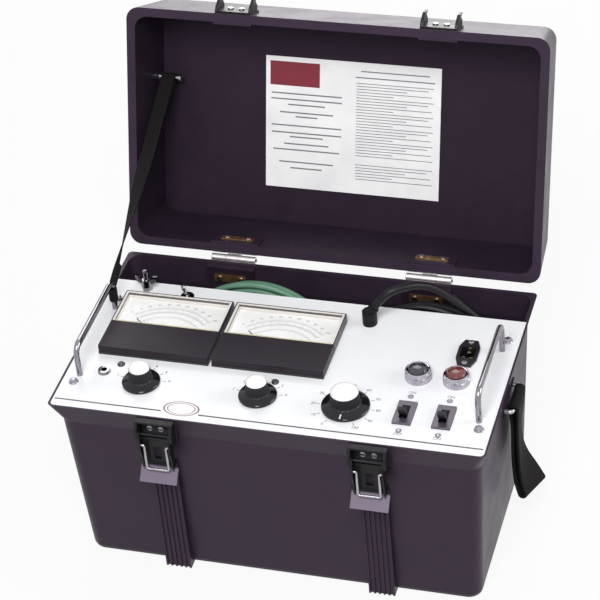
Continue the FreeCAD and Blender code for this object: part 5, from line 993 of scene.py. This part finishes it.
class StageOperator(bpy.types.Operator):
    """Set the camera of the photograph, the pale floor and the studio lights."""

    bl_idname = "tester.stage"
    bl_label = "Stage"

    def execute(self, context):
        scene = context.scene
        scene.view_settings.view_transform = "Standard"
        self.set_camera(scene)
        self.lay_floor(context)
        self.light_world(scene)
        self.hang_lamps(scene)
        return {"FINISHED"}

    def set_camera(self, scene):
        """The camera that took the photograph."""
        camera = bpy.data.objects.new("camera", bpy.data.cameras.new("camera"))
        scene.collection.objects.link(camera)
        place = Vector(CAMERA_PLACE)
        aim = (Vector(CAMERA_AIM) - place).to_track_quat("-Z", "Y")
        camera.rotation_mode = "QUATERNION"
        camera.rotation_quaternion = aim @ Quaternion((0.0, 0.0, 1.0), math.radians(CAMERA_ROLL))
        camera.location = place
        camera.data.lens = CAMERA_LENS
        camera.data.sensor_width = CAMERA_SENSOR
        camera.data.clip_end = 50.0
        scene.camera = camera

    def lay_floor(self, context):
        """A pale floor that looks nearly white, keeps the shadow and throws little light back on the case."""
        bpy.ops.mesh.primitive_plane_add(size=FLOOR_SIZE, location=(0.0, 0.0, -FLOOR_DROP))
        floor = context.object
        floor.name = "floor"
        sheet = bpy.data.materials.new("pale_floor")
        sheet.use_nodes = True
        tree = sheet.node_tree
        tree.nodes.clear()
        shown = background_rays(tree)
        share = add(tree, "Math", {0: shown, 1: FLOOR_WHITE}, operation="MULTIPLY").outputs["Value"]
        greys = {"Value": shown, "To Min": FLOOR_GREY_AS_LIGHT, "To Max": FLOOR_GREY_SHOWN}
        grey = add(tree, "MapRange", greys).outputs["Result"]
        matt = add(tree, "BsdfDiffuse", {"Color": grey}).outputs["BSDF"]
        white = add(tree, "Emission", {"Color": (1.0, 1.0, 1.0, 1.0), "Strength": 1.0}).outputs["Emission"]
        both = add(tree, "MixShader", {0: share, 1: matt, 2: white}).outputs["Shader"]
        add(tree, "OutputMaterial", {"Surface": both})
        floor.data.materials.append(sheet)

    def light_world(self, scene):
        """A white background that gives the object only a little light."""
        world = bpy.data.worlds.new("studio")
        world.use_nodes = True
        tree = world.node_tree
        backdrop = tree.nodes["Background"]
        backdrop.inputs["Color"].default_value = WORLD_COLOUR
        levels = {"Value": background_rays(tree), "To Min": WORLD_AS_LIGHT, "To Max": 1.0}
        level = add(tree, "MapRange", levels)
        tree.links.new(level.outputs["Result"], backdrop.inputs["Strength"])
        scene.world = world

    def hang_lamps(self, scene):
        """Large round soft boxes that the camera does not see."""
        for name, (place, target, size, power) in STUDIO_LAMPS.items():
            light = bpy.data.lights.new(name, "AREA")
            light.shape = "DISK"
            light.size = size
            light.energy = power
            lamp = bpy.data.objects.new(name, light)
            lamp.visible_camera = False
            lamp.location = place
            lamp.rotation_mode = "QUATERNION"
            lamp.rotation_quaternion = (Vector(target) - Vector(place)).to_track_quat("-Z", "Y")
            scene.collection.objects.link(lamp)


class FinishesOperator(bpy.types.Operator):
    """Make every finish and dress the CAD parts that stay."""

    bl_idname = "tester.finishes"
    bl_label = "Finishes"

    def execute(self, context):
        colours = context.scene.tester_colours
        sizes = context.scene.tester_sizes
        make_case_plastic("moulded_tub_plastic", list(colours.case), TUB_CENTRE)
        make_case_plastic("moulded_lid_plastic", list(colours.case), LID_CENTRE)
        make_chromate_steel()
        make_hinge_steel()
        make_lever_paint()
        make_meter_case()
        make_window()
        make_lens("smoked_lens", linear("#262833"), 1.4)
        make_lens("red_lamp_lens", list(colours.red_lens), 1.5)
        make_webbing("stay_webbing", list(colours.webbing), sizes.stay_width, STAY_WEAVE)
        make_webbing("loop_webbing", list(colours.webbing), sizes.loop_width, LOOP_WEAVE)
        for name, (code, patch, roughness, swing, grain, depth, values) in PLAIN_FINISHES.items():
            plain_finish(name, linear(code), patch, roughness, swing, grain, depth, **values)
        make_knob_black(list(colours.black))
        # Sprayed enamel on sheet: even white with a soft, barely waved shine.
        panel_values = (0.07, 0.34, 0.05, 0.003, 0.00001)
        plain_finish("white_panel_enamel", list(colours.panel), *panel_values, spread=0.02)
        # Printing ink: matt dark grey.
        ink_values = (0.004, 0.5, 0.05, 0.002, 0.00001)
        plain_finish("printed_ink", list(colours.ink), *ink_values)
        # Moulded plastic with a fine texture: near black and satin.
        cover_values = (0.03, 0.42, 0.05, 0.002, 0.00004)
        plain_finish("satin_cover_plastic", list(colours.meter_cover), *cover_values, Specular_IOR_Level=0.25)
        # Extruded vinyl: clear green with a soft highlight.
        earth_values = (0.02, 0.45, 0.08, 0.002, 0.00003)
        plain_finish("earth_lead_jacket", list(colours.earth_green), *earth_values)
        for name, (centre, _, _) in KNOBS.items():
            make_turned_aluminium("spun_cap_" + name, centre)
        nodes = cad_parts
        for finish, names in DRESS.items():
            for name in names:
                for slot in nodes[name].material_slots:
                    slot.material = bpy.data.materials[finish]
        for name, width in EASED.items():
            joined = nodes[name].modifiers.new("joined faces", "WELD")
            joined.merge_threshold = EASED_JOIN
            eased = nodes[name].modifiers.new("eased edges", "BEVEL")
            eased.width = width
            eased.segments = 2
            eased.limit_method = "ANGLE"
            eased.angle_limit = math.radians(50.0)
        return {"FINISHED"}


class LeadsOperator(bpy.types.Operator):
    """Lay the black test lead and the green earth lead in their coils."""

    bl_idname = "tester.leads"
    bl_label = "Leads"

    def execute(self, context):
        sizes = context.scene.tester_sizes
        route = list(TEST_ROUTE) + coil_points(TEST_COIL)
        route += [(TEST_COIL["centre"][0], TEST_END[1], TEST_END[2]), TEST_END]
        test = lead("test_lead_cord", route, sizes.test_lead, "test_lead_jacket", "case")
        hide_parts("test_lead", "test_lead_coil")
        route = [EARTH_EXIT] + coil_points(EARTH_COIL)
        route += [(EARTH_COIL["centre"][0], EARTH_END[1], EARTH_END[2]), EARTH_END]
        earth = lead("earth_lead_cord", route, sizes.earth_lead, "earth_lead_jacket", "case")
        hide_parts("earth_lead")
        return {"FINISHED"}


class WebbingOperator(bpy.types.Operator):
    """Sew the lid stay round its post and the carrying loops round their bars."""

    bl_idname = "tester.webbing"
    bl_label = "Webbing"

    def execute(self, context):
        sizes = context.scene.tester_sizes
        self.make_stay(sizes)
        for side, name in ((-1.0, "left"), (1.0, "right")):
            self.make_loop(sizes, side, name)
        return {"FINISHED"}

    def make_stay(self, sizes):
        """The stay: a sewn eye round its post, a quarter turn on the way up, and a sewn eye on its pin."""
        on_post = STAY_POST_RADIUS + sizes.stay_thickness / 2
        on_pin = STAY_PIN_RADIUS + sizes.stay_thickness / 2
        side = Vector((1.0, 0.0, 0.0))
        upright = Vector((0.0, 0.0, 1.0))
        start = STAY_POST - side * on_post
        heading = (STAY_PIN - start).normalized()
        rise = side.cross(heading).normalized()
        end = STAY_PIN + rise * on_pin
        line = []
        across = []
        tail = start + side * POST_TAIL_GAP
        for reach in POST_TAIL:
            line.append(tail + heading * reach)
            across.append(rise)
        for number in range(17):
            turn = math.radians(100.0 - 280.0 * number / 16)
            line.append(STAY_POST + Vector((math.cos(turn), math.sin(turn), 0.0)) * on_post)
            across.append(upright)
        for number in range(1, 37):
            share = number / 36
            eased = min(share / STAY_TWIST, 1.0)
            turn = math.pi / 2 * eased * eased * (3.0 - 2.0 * eased)
            wide = rise * math.cos(turn) + side * math.sin(turn)
            line.append(start.lerp(end, share))
            across.append(wide.lerp(upright, max(0.0, STAY_UPRIGHT - share) / STAY_UPRIGHT))
        for number in range(1, 13):
            turn = math.radians(200.0 * number / 12)
            line.append(STAY_PIN + (rise * math.cos(turn) + heading * math.sin(turn)) * on_pin)
            across.append(side)
        under = line[-1] - heading * PIN_TAIL_START
        sewn = end - heading * PIN_TAIL_MEETS - rise * PIN_TAIL_GAP
        for reach in PIN_TAIL:
            line.append(under.lerp(sewn, min(1.0, reach / PIN_TAIL_BEND)) - heading * reach)
            across.append(side)
        stay = strap(line, [wide.normalized() * sizes.stay_width for wide in across], sizes.stay_thickness)
        settle(stay, "lid_stay_webbing", "stay_webbing", None, 50.0)
        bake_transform(stay)
        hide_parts("lid_stay")

    def make_loop(self, sizes, side, name):
        """A carrying loop: folded over its bar, both legs close to the wall, turned out at the bottom."""
        fold = LOOP_BAR_RADIUS + sizes.loop_thickness / 2
        inner = smooth_run(LOOP_INNER, LOOP_STEPS)
        outer = smooth_run(LOOP_OUTER, LOOP_STEPS)
        edges = []
        for number in range(13):
            turn = math.radians(180.0 * number / 12)
            reach = LOOP_BAR[0] + fold * math.cos(turn)
            edges.append(Vector((LOOP_BAR[1] + fold * math.sin(turn), reach, reach)))
        edges += inner
        for number in range(1, 8):
            turn = math.radians(180.0 * number / 8)
            place = inner[-1].lerp(outer[-1], (1.0 - math.cos(turn)) / 2)
            place.x -= LOOP_FOLD * math.sin(turn)
            edges.append(place)
        edges += reversed(outer)
        edges.append(edges[0].copy())
        line = []
        across = []
        for height, front, rear in edges:
            line.append(Vector((side * (front + rear) / 2, LOOP_MIDDLE, height)))
            wide = Vector((side * (rear - front), sizes.loop_width, 0.0))
            across.append(wide.normalized() * side * sizes.loop_width)
        loop = strap(line, across, sizes.loop_thickness)
        body = "carrying_loop_" + name
        settle(loop, body + "_webbing", "loop_webbing", body, 50.0)
        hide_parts(body)


class KnobsOperator(bpy.types.Operator):
    """Turn the three knobs: glossy skirt, fluted grip, spun cap and white index."""

    bl_idname = "tester.knobs"
    bl_label = "Knobs"

    def execute(self, context):
        sizes = context.scene.tester_sizes
        for name, (centre, kind, pointing) in KNOBS.items():
            skirt = getattr(sizes, kind + "_skirt")
            grip = getattr(sizes, kind + "_grip")
            self.make_handle(sizes, name, centre, skirt, grip)
            self.make_cap(sizes, name, centre, grip)
            self.make_index(name, centre, skirt, grip, pointing)
        return {"FINISHED"}

    def make_handle(self, sizes, name, centre, skirt, grip):
        """The moulded skirt and fluted grip."""
        foot = PANEL_TOP + KNOB_GAP
        top = sizes.knob_height
        rings = (
            (skirt - 0.0004, 0.0),
            (skirt, 0.0004),
            (skirt, 0.0024),
            (skirt - 0.0005, SKIRT_LOW),
            (grip + 0.0030, SKIRT_HIGH),
            (grip + 0.0014, 0.0056),
            (grip + 0.0010, 0.0068),
            (grip + 0.0008, 0.0080),
            (grip - 0.0002, top - 0.0042),
            (grip - 0.0006, top - 0.0034),
        )
        handle = turned(rings, 2 * sizes.grip_flutes, centre, foot)
        flute(handle, centre, foot + 0.0060, foot + top - 0.0038, sizes.grip_flutes, GRIP_FLUTE)
        settle(handle, name + "_grip", "black_knob_gloss", name, 25.0)
        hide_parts(name)

    def make_cap(self, sizes, name, centre, grip):
        """The spun cap, and the shaft below the panel."""
        foot = PANEL_TOP + KNOB_GAP
        top = sizes.knob_height
        rings = (
            (grip - 0.0010, top - 0.0037),
            (grip - 0.0006, top - 0.0034),
            (grip - 0.0008, top - 0.0020),
            (grip - 0.0014, top - 0.0011),
            (grip - 0.0026, top - 0.0005),
            (grip - 0.0050, top - 0.0001),
            (0.0020, top),
        )
        cap = turned(rings, CAP_SIDES, centre, foot)
        settle(cap, name + "_cap", "spun_cap_" + name, name, 30.0)
        shaft = turned(SHAFT_RINGS, SHAFT_SIDES, centre, foot)
        settle(shaft, name + "_shaft", "bright_zinc_steel", name, 30.0)

    def make_index(self, name, centre, skirt, grip, pointing):
        """The white index on the slope of the skirt."""
        inner = grip + 0.0034
        outer = skirt - 0.0012
        middle = (inner + outer) / 2
        slope_start = skirt - 0.0005
        slope_length = slope_start - grip - 0.0030
        rise = SKIRT_LOW + (SKIRT_HIGH - SKIRT_LOW) * (slope_start - middle) / slope_length
        slope = math.atan2(SKIRT_HIGH - SKIRT_LOW, slope_length)
        mark = slab((outer - inner, INDEX_WIDTH, INDEX_HEIGHT), (0.0, 0.0, 0.0), 0.0001)
        mark.data.transform(Matrix.Rotation(slope, 4, "Y"))
        mark.data.transform(Matrix.Translation((centre[0] + middle, centre[1], PANEL_TOP + KNOB_GAP + rise)))
        mark.data.transform(turn_about(centre, pointing))
        settle(mark, name + "_index", "white_index_paint", name, 30.0)


class LampsOperator(bpy.types.Operator):
    """Turn the two lamp bezels: ribbed foot, polished shoulder and a lip round the lens."""

    bl_idname = "tester.lamps"
    bl_label = "Lamps"

    def execute(self, context):
        sizes = context.scene.tester_sizes
        radius = sizes.bezel_radius
        top = sizes.bezel_height
        rings = (
            (radius - 0.0004, 0.0),
            (radius, 0.0004),
            (radius, top - 0.0060),
            (radius - 0.0008, top - 0.0054),
            (radius - 0.0010, top - 0.0046),
            (radius - 0.0004, top - 0.0040),
            (radius - 0.0004, top - 0.0018),
            (radius - 0.0011, top - 0.0006),
            (radius - 0.0022, top),
            (radius - 0.0032, top - 0.0002),
            (radius - 0.0038, top - 0.0012),
            (radius - 0.0039, top - 0.0034),
        )
        bezels = []
        for centre in LAMPS.values():
            bezel = turned(rings, 2 * sizes.bezel_ribs, centre, PANEL_TOP)
            flute(bezel, centre, PANEL_TOP + 0.0002, PANEL_TOP + top - 0.0058, sizes.bezel_ribs, BEZEL_RIB)
            bezels.append(bezel)
        bezel = join(bezels)
        settle(bezel, "lamp_bezels_ribbed", "bezel_nickel", "case", 25.0)
        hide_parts("lamp_bezels")
        return {"FINISHED"}


class PanelPrintOperator(bpy.types.Operator):
    """Print the panel: front line, oval, knob scales and figures."""

    bl_idname = "tester.panel_print"
    bl_label = "Panel print"

    def execute(self, context):
        sizes = context.scene.tester_sizes
        thick = sizes.print_height
        height = PANEL_TOP + thick / 2
        made = []
        for left, right in FRONT_LINE_RUNS:
            size = (right - left, FRONT_LINE_WIDTH, thick)
            made.append(slab(size, ((left + right) / 2, FRONT_LINE_Y, height)))
        ovals = []
        flattened = Matrix.Translation(OVAL_CENTRE) @ Matrix.Diagonal((1.0, OVAL_FLATNESS, 1.0, 1.0))
        for reach, line in OVAL_RINGS:
            oval = ring_band((0.0, 0.0), reach, reach + line, 0.0, 0.0, height)
            oval.data.transform(flattened)
            ovals.append(oval)
        settle(join(ovals), "panel_oval", "sienna_print", "case", 0.0)
        for centre, kind, _ in KNOBS.values():
            skirt = getattr(sizes, kind + "_skirt")
            count, start, step, first, last = KNOB_SCALES[kind]
            turns = [first + (last - first) * number / (count - 1) for number in range(count)]
            tick = slab((*SCALE_TICK, thick), (centre[0] + skirt + SCALE_TICK_OUT, centre[1], height))
            made.append(repeat(tick, [turn_about(centre, turn) for turn in turns]))
            words = [str(start + step * number) for number in range(count)]
            places = on_circle(centre, skirt + SCALE_FIGURE_OUT, turns)
            made.append(figures(words, places, PANEL_FIGURE_SIZE, height, thick))
        for x in BREAKERS.values():
            places = [(x, y) for y in BREAKER_WORDS.values()]
            made.append(figures(BREAKER_WORDS, places, PANEL_FIGURE_SIZE, height, thick))
        settle(join(made), "panel_print", "printed_ink", "case", 0.0)
        return {"FINISHED"}


class DialPrintOperator(bpy.types.Operator):
    """Print both dials, with three arcs, their divisions and figures, and lay painted highlights along the
    edges behind the covers.
    """

    bl_idname = "tester.dial_print"
    bl_label = "Dial print"

    def execute(self, context):
        thick = context.scene.tester_sizes.print_height
        height = DIAL_TOP + thick / 2
        made = []
        sweep = DIAL_FIRST - DIAL_LAST
        for x in METERS.values():
            pivot = (x, NEEDLE_PIVOT_Y)
            for inner in DIAL_ARCS:
                made.append(ring_band(pivot, inner, inner + DIAL_LINE, DIAL_LAST, DIAL_FIRST, height))
            for reach, long, count in DIAL_TICKS:
                turns = [DIAL_FIRST - sweep * number / (count - 1) for number in range(count)]
                tick = slab((abs(long), DIAL_TICK, thick), (x + reach + long / 2, NEEDLE_PIVOT_Y, height))
                made.append(repeat(tick, [turn_about(pivot, turn) for turn in turns]))
            turns = [DIAL_FIRST - sweep * number / (DIAL_FIGURES - 1) for number in range(DIAL_FIGURES)]
            words = [str(10 * number) for number in range(DIAL_FIGURES)]
            places = on_circle(pivot, DIAL_FIGURE_RADIUS, turns)
            made.append(figures(words, places, DIAL_FIGURE_SIZE, height, thick))
        settle(join(made), "dial_print", "dial_ink", "case", 0.0)
        # Painted highlight: a cream strip where each cover's rear edge catches the light.
        edges = [slab(COVER_HIGHLIGHT_SIZE, (x, COVER_HIGHLIGHT_Y, METER_TOP), 0.0001) for x in METERS.values()]
        settle(join(edges), "cover_edges", "cream_edge_paint", "case", 30.0)
        return {"FINISHED"}


class CardPrintOperator(bpy.types.Operator):
    """Rule the lid card with plain lines and one plain block."""

    bl_idname = "tester.card_print"
    bl_label = "Card print"

    def execute(self, context):
        thick = context.scene.tester_sizes.print_height
        face = CARD_FACE - thick / 2
        rows = [(CARD_LEFT_MIDDLE, length, down, CARD_LEFT_LINE) for length, down in CARD_LEFT_ROWS]
        rows += [(CARD_RIGHT_MIDDLE, length, down, CARD_TITLE_LINE) for length, down in CARD_TITLE_ROWS]
        for first, count in CARD_FINE_ROWS:
            for number in range(count):
                short = CARD_FINE_SHORTER[number % len(CARD_FINE_SHORTER)]
                middle = CARD_RIGHT_MIDDLE - short / 2
                down = first + CARD_FINE_PITCH * number
                rows.append((middle, CARD_FINE_LENGTH - short, down, CARD_FINE_LINE))
        opened = Matrix.Translation(HINGE_AXIS) @ Matrix.Rotation(math.radians(LID_OPENING), 4, "X")
        made = []
        for middle, length, down, wide in rows:
            made.append(slab((length, wide, thick), (middle, CARD_TOP + down, face)))
        lines = join(made)
        lines.data.transform(opened)
        settle(lines, "card_print", "card_ink", "lid", 0.0)
        block = slab((*CARD_BLOCK_SIZE, thick), (CARD_BLOCK_MIDDLE, CARD_TOP + CARD_BLOCK_DOWN, face))
        block.data.transform(opened)
        settle(block, "card_block", "maroon_print", "lid", 0.0)
        return {"FINISHED"}


class TesterPanel(bpy.types.Panel):
    """Lists the steps that make the tester."""

    bl_idname = "VIEW3D_PT_tester"
    bl_label = "Insulation tester"
    bl_space_type = "VIEW_3D"
    bl_region_type = "UI"
    bl_category = "Tester"

    def draw(self, context):
        for step in STEPS:
            self.layout.operator(step.bl_idname)
        for settings in (context.scene.tester_sizes, context.scene.tester_colours):
            for word in settings.__annotations__:
                self.layout.prop(settings, word)


STEPS = (
    StageOperator,
    FinishesOperator,
    LeadsOperator,
    WebbingOperator,
    KnobsOperator,
    LampsOperator,
    PanelPrintOperator,
    DialPrintOperator,
    CardPrintOperator,
)
CLASSES = (TesterSizes, TesterColours, *STEPS, TesterPanel)


def register():
    """Add the classes and the settings to Blender."""
    for item in CLASSES:
        bpy.utils.register_class(item)
    bpy.types.Scene.tester_sizes = bpy.props.PointerProperty(type=TesterSizes)
    bpy.types.Scene.tester_colours = bpy.props.PointerProperty(type=TesterColours)


def unregister():
    """Take the settings and the classes out of Blender again."""
    del bpy.types.Scene.tester_colours
    del bpy.types.Scene.tester_sizes
    for item in reversed(CLASSES):
        bpy.utils.unregister_class(item)


def main():
    """Register the add-on and run its steps in order."""
    register()
    bpy.ops.tester.stage()
    bpy.ops.tester.finishes()
    bpy.ops.tester.leads()
    bpy.ops.tester.webbing()
    bpy.ops.tester.knobs()
    bpy.ops.tester.lamps()
    bpy.ops.tester.panel_print()
    bpy.ops.tester.dial_print()
    bpy.ops.tester.card_print()


if __name__ == "__main__":
    main()
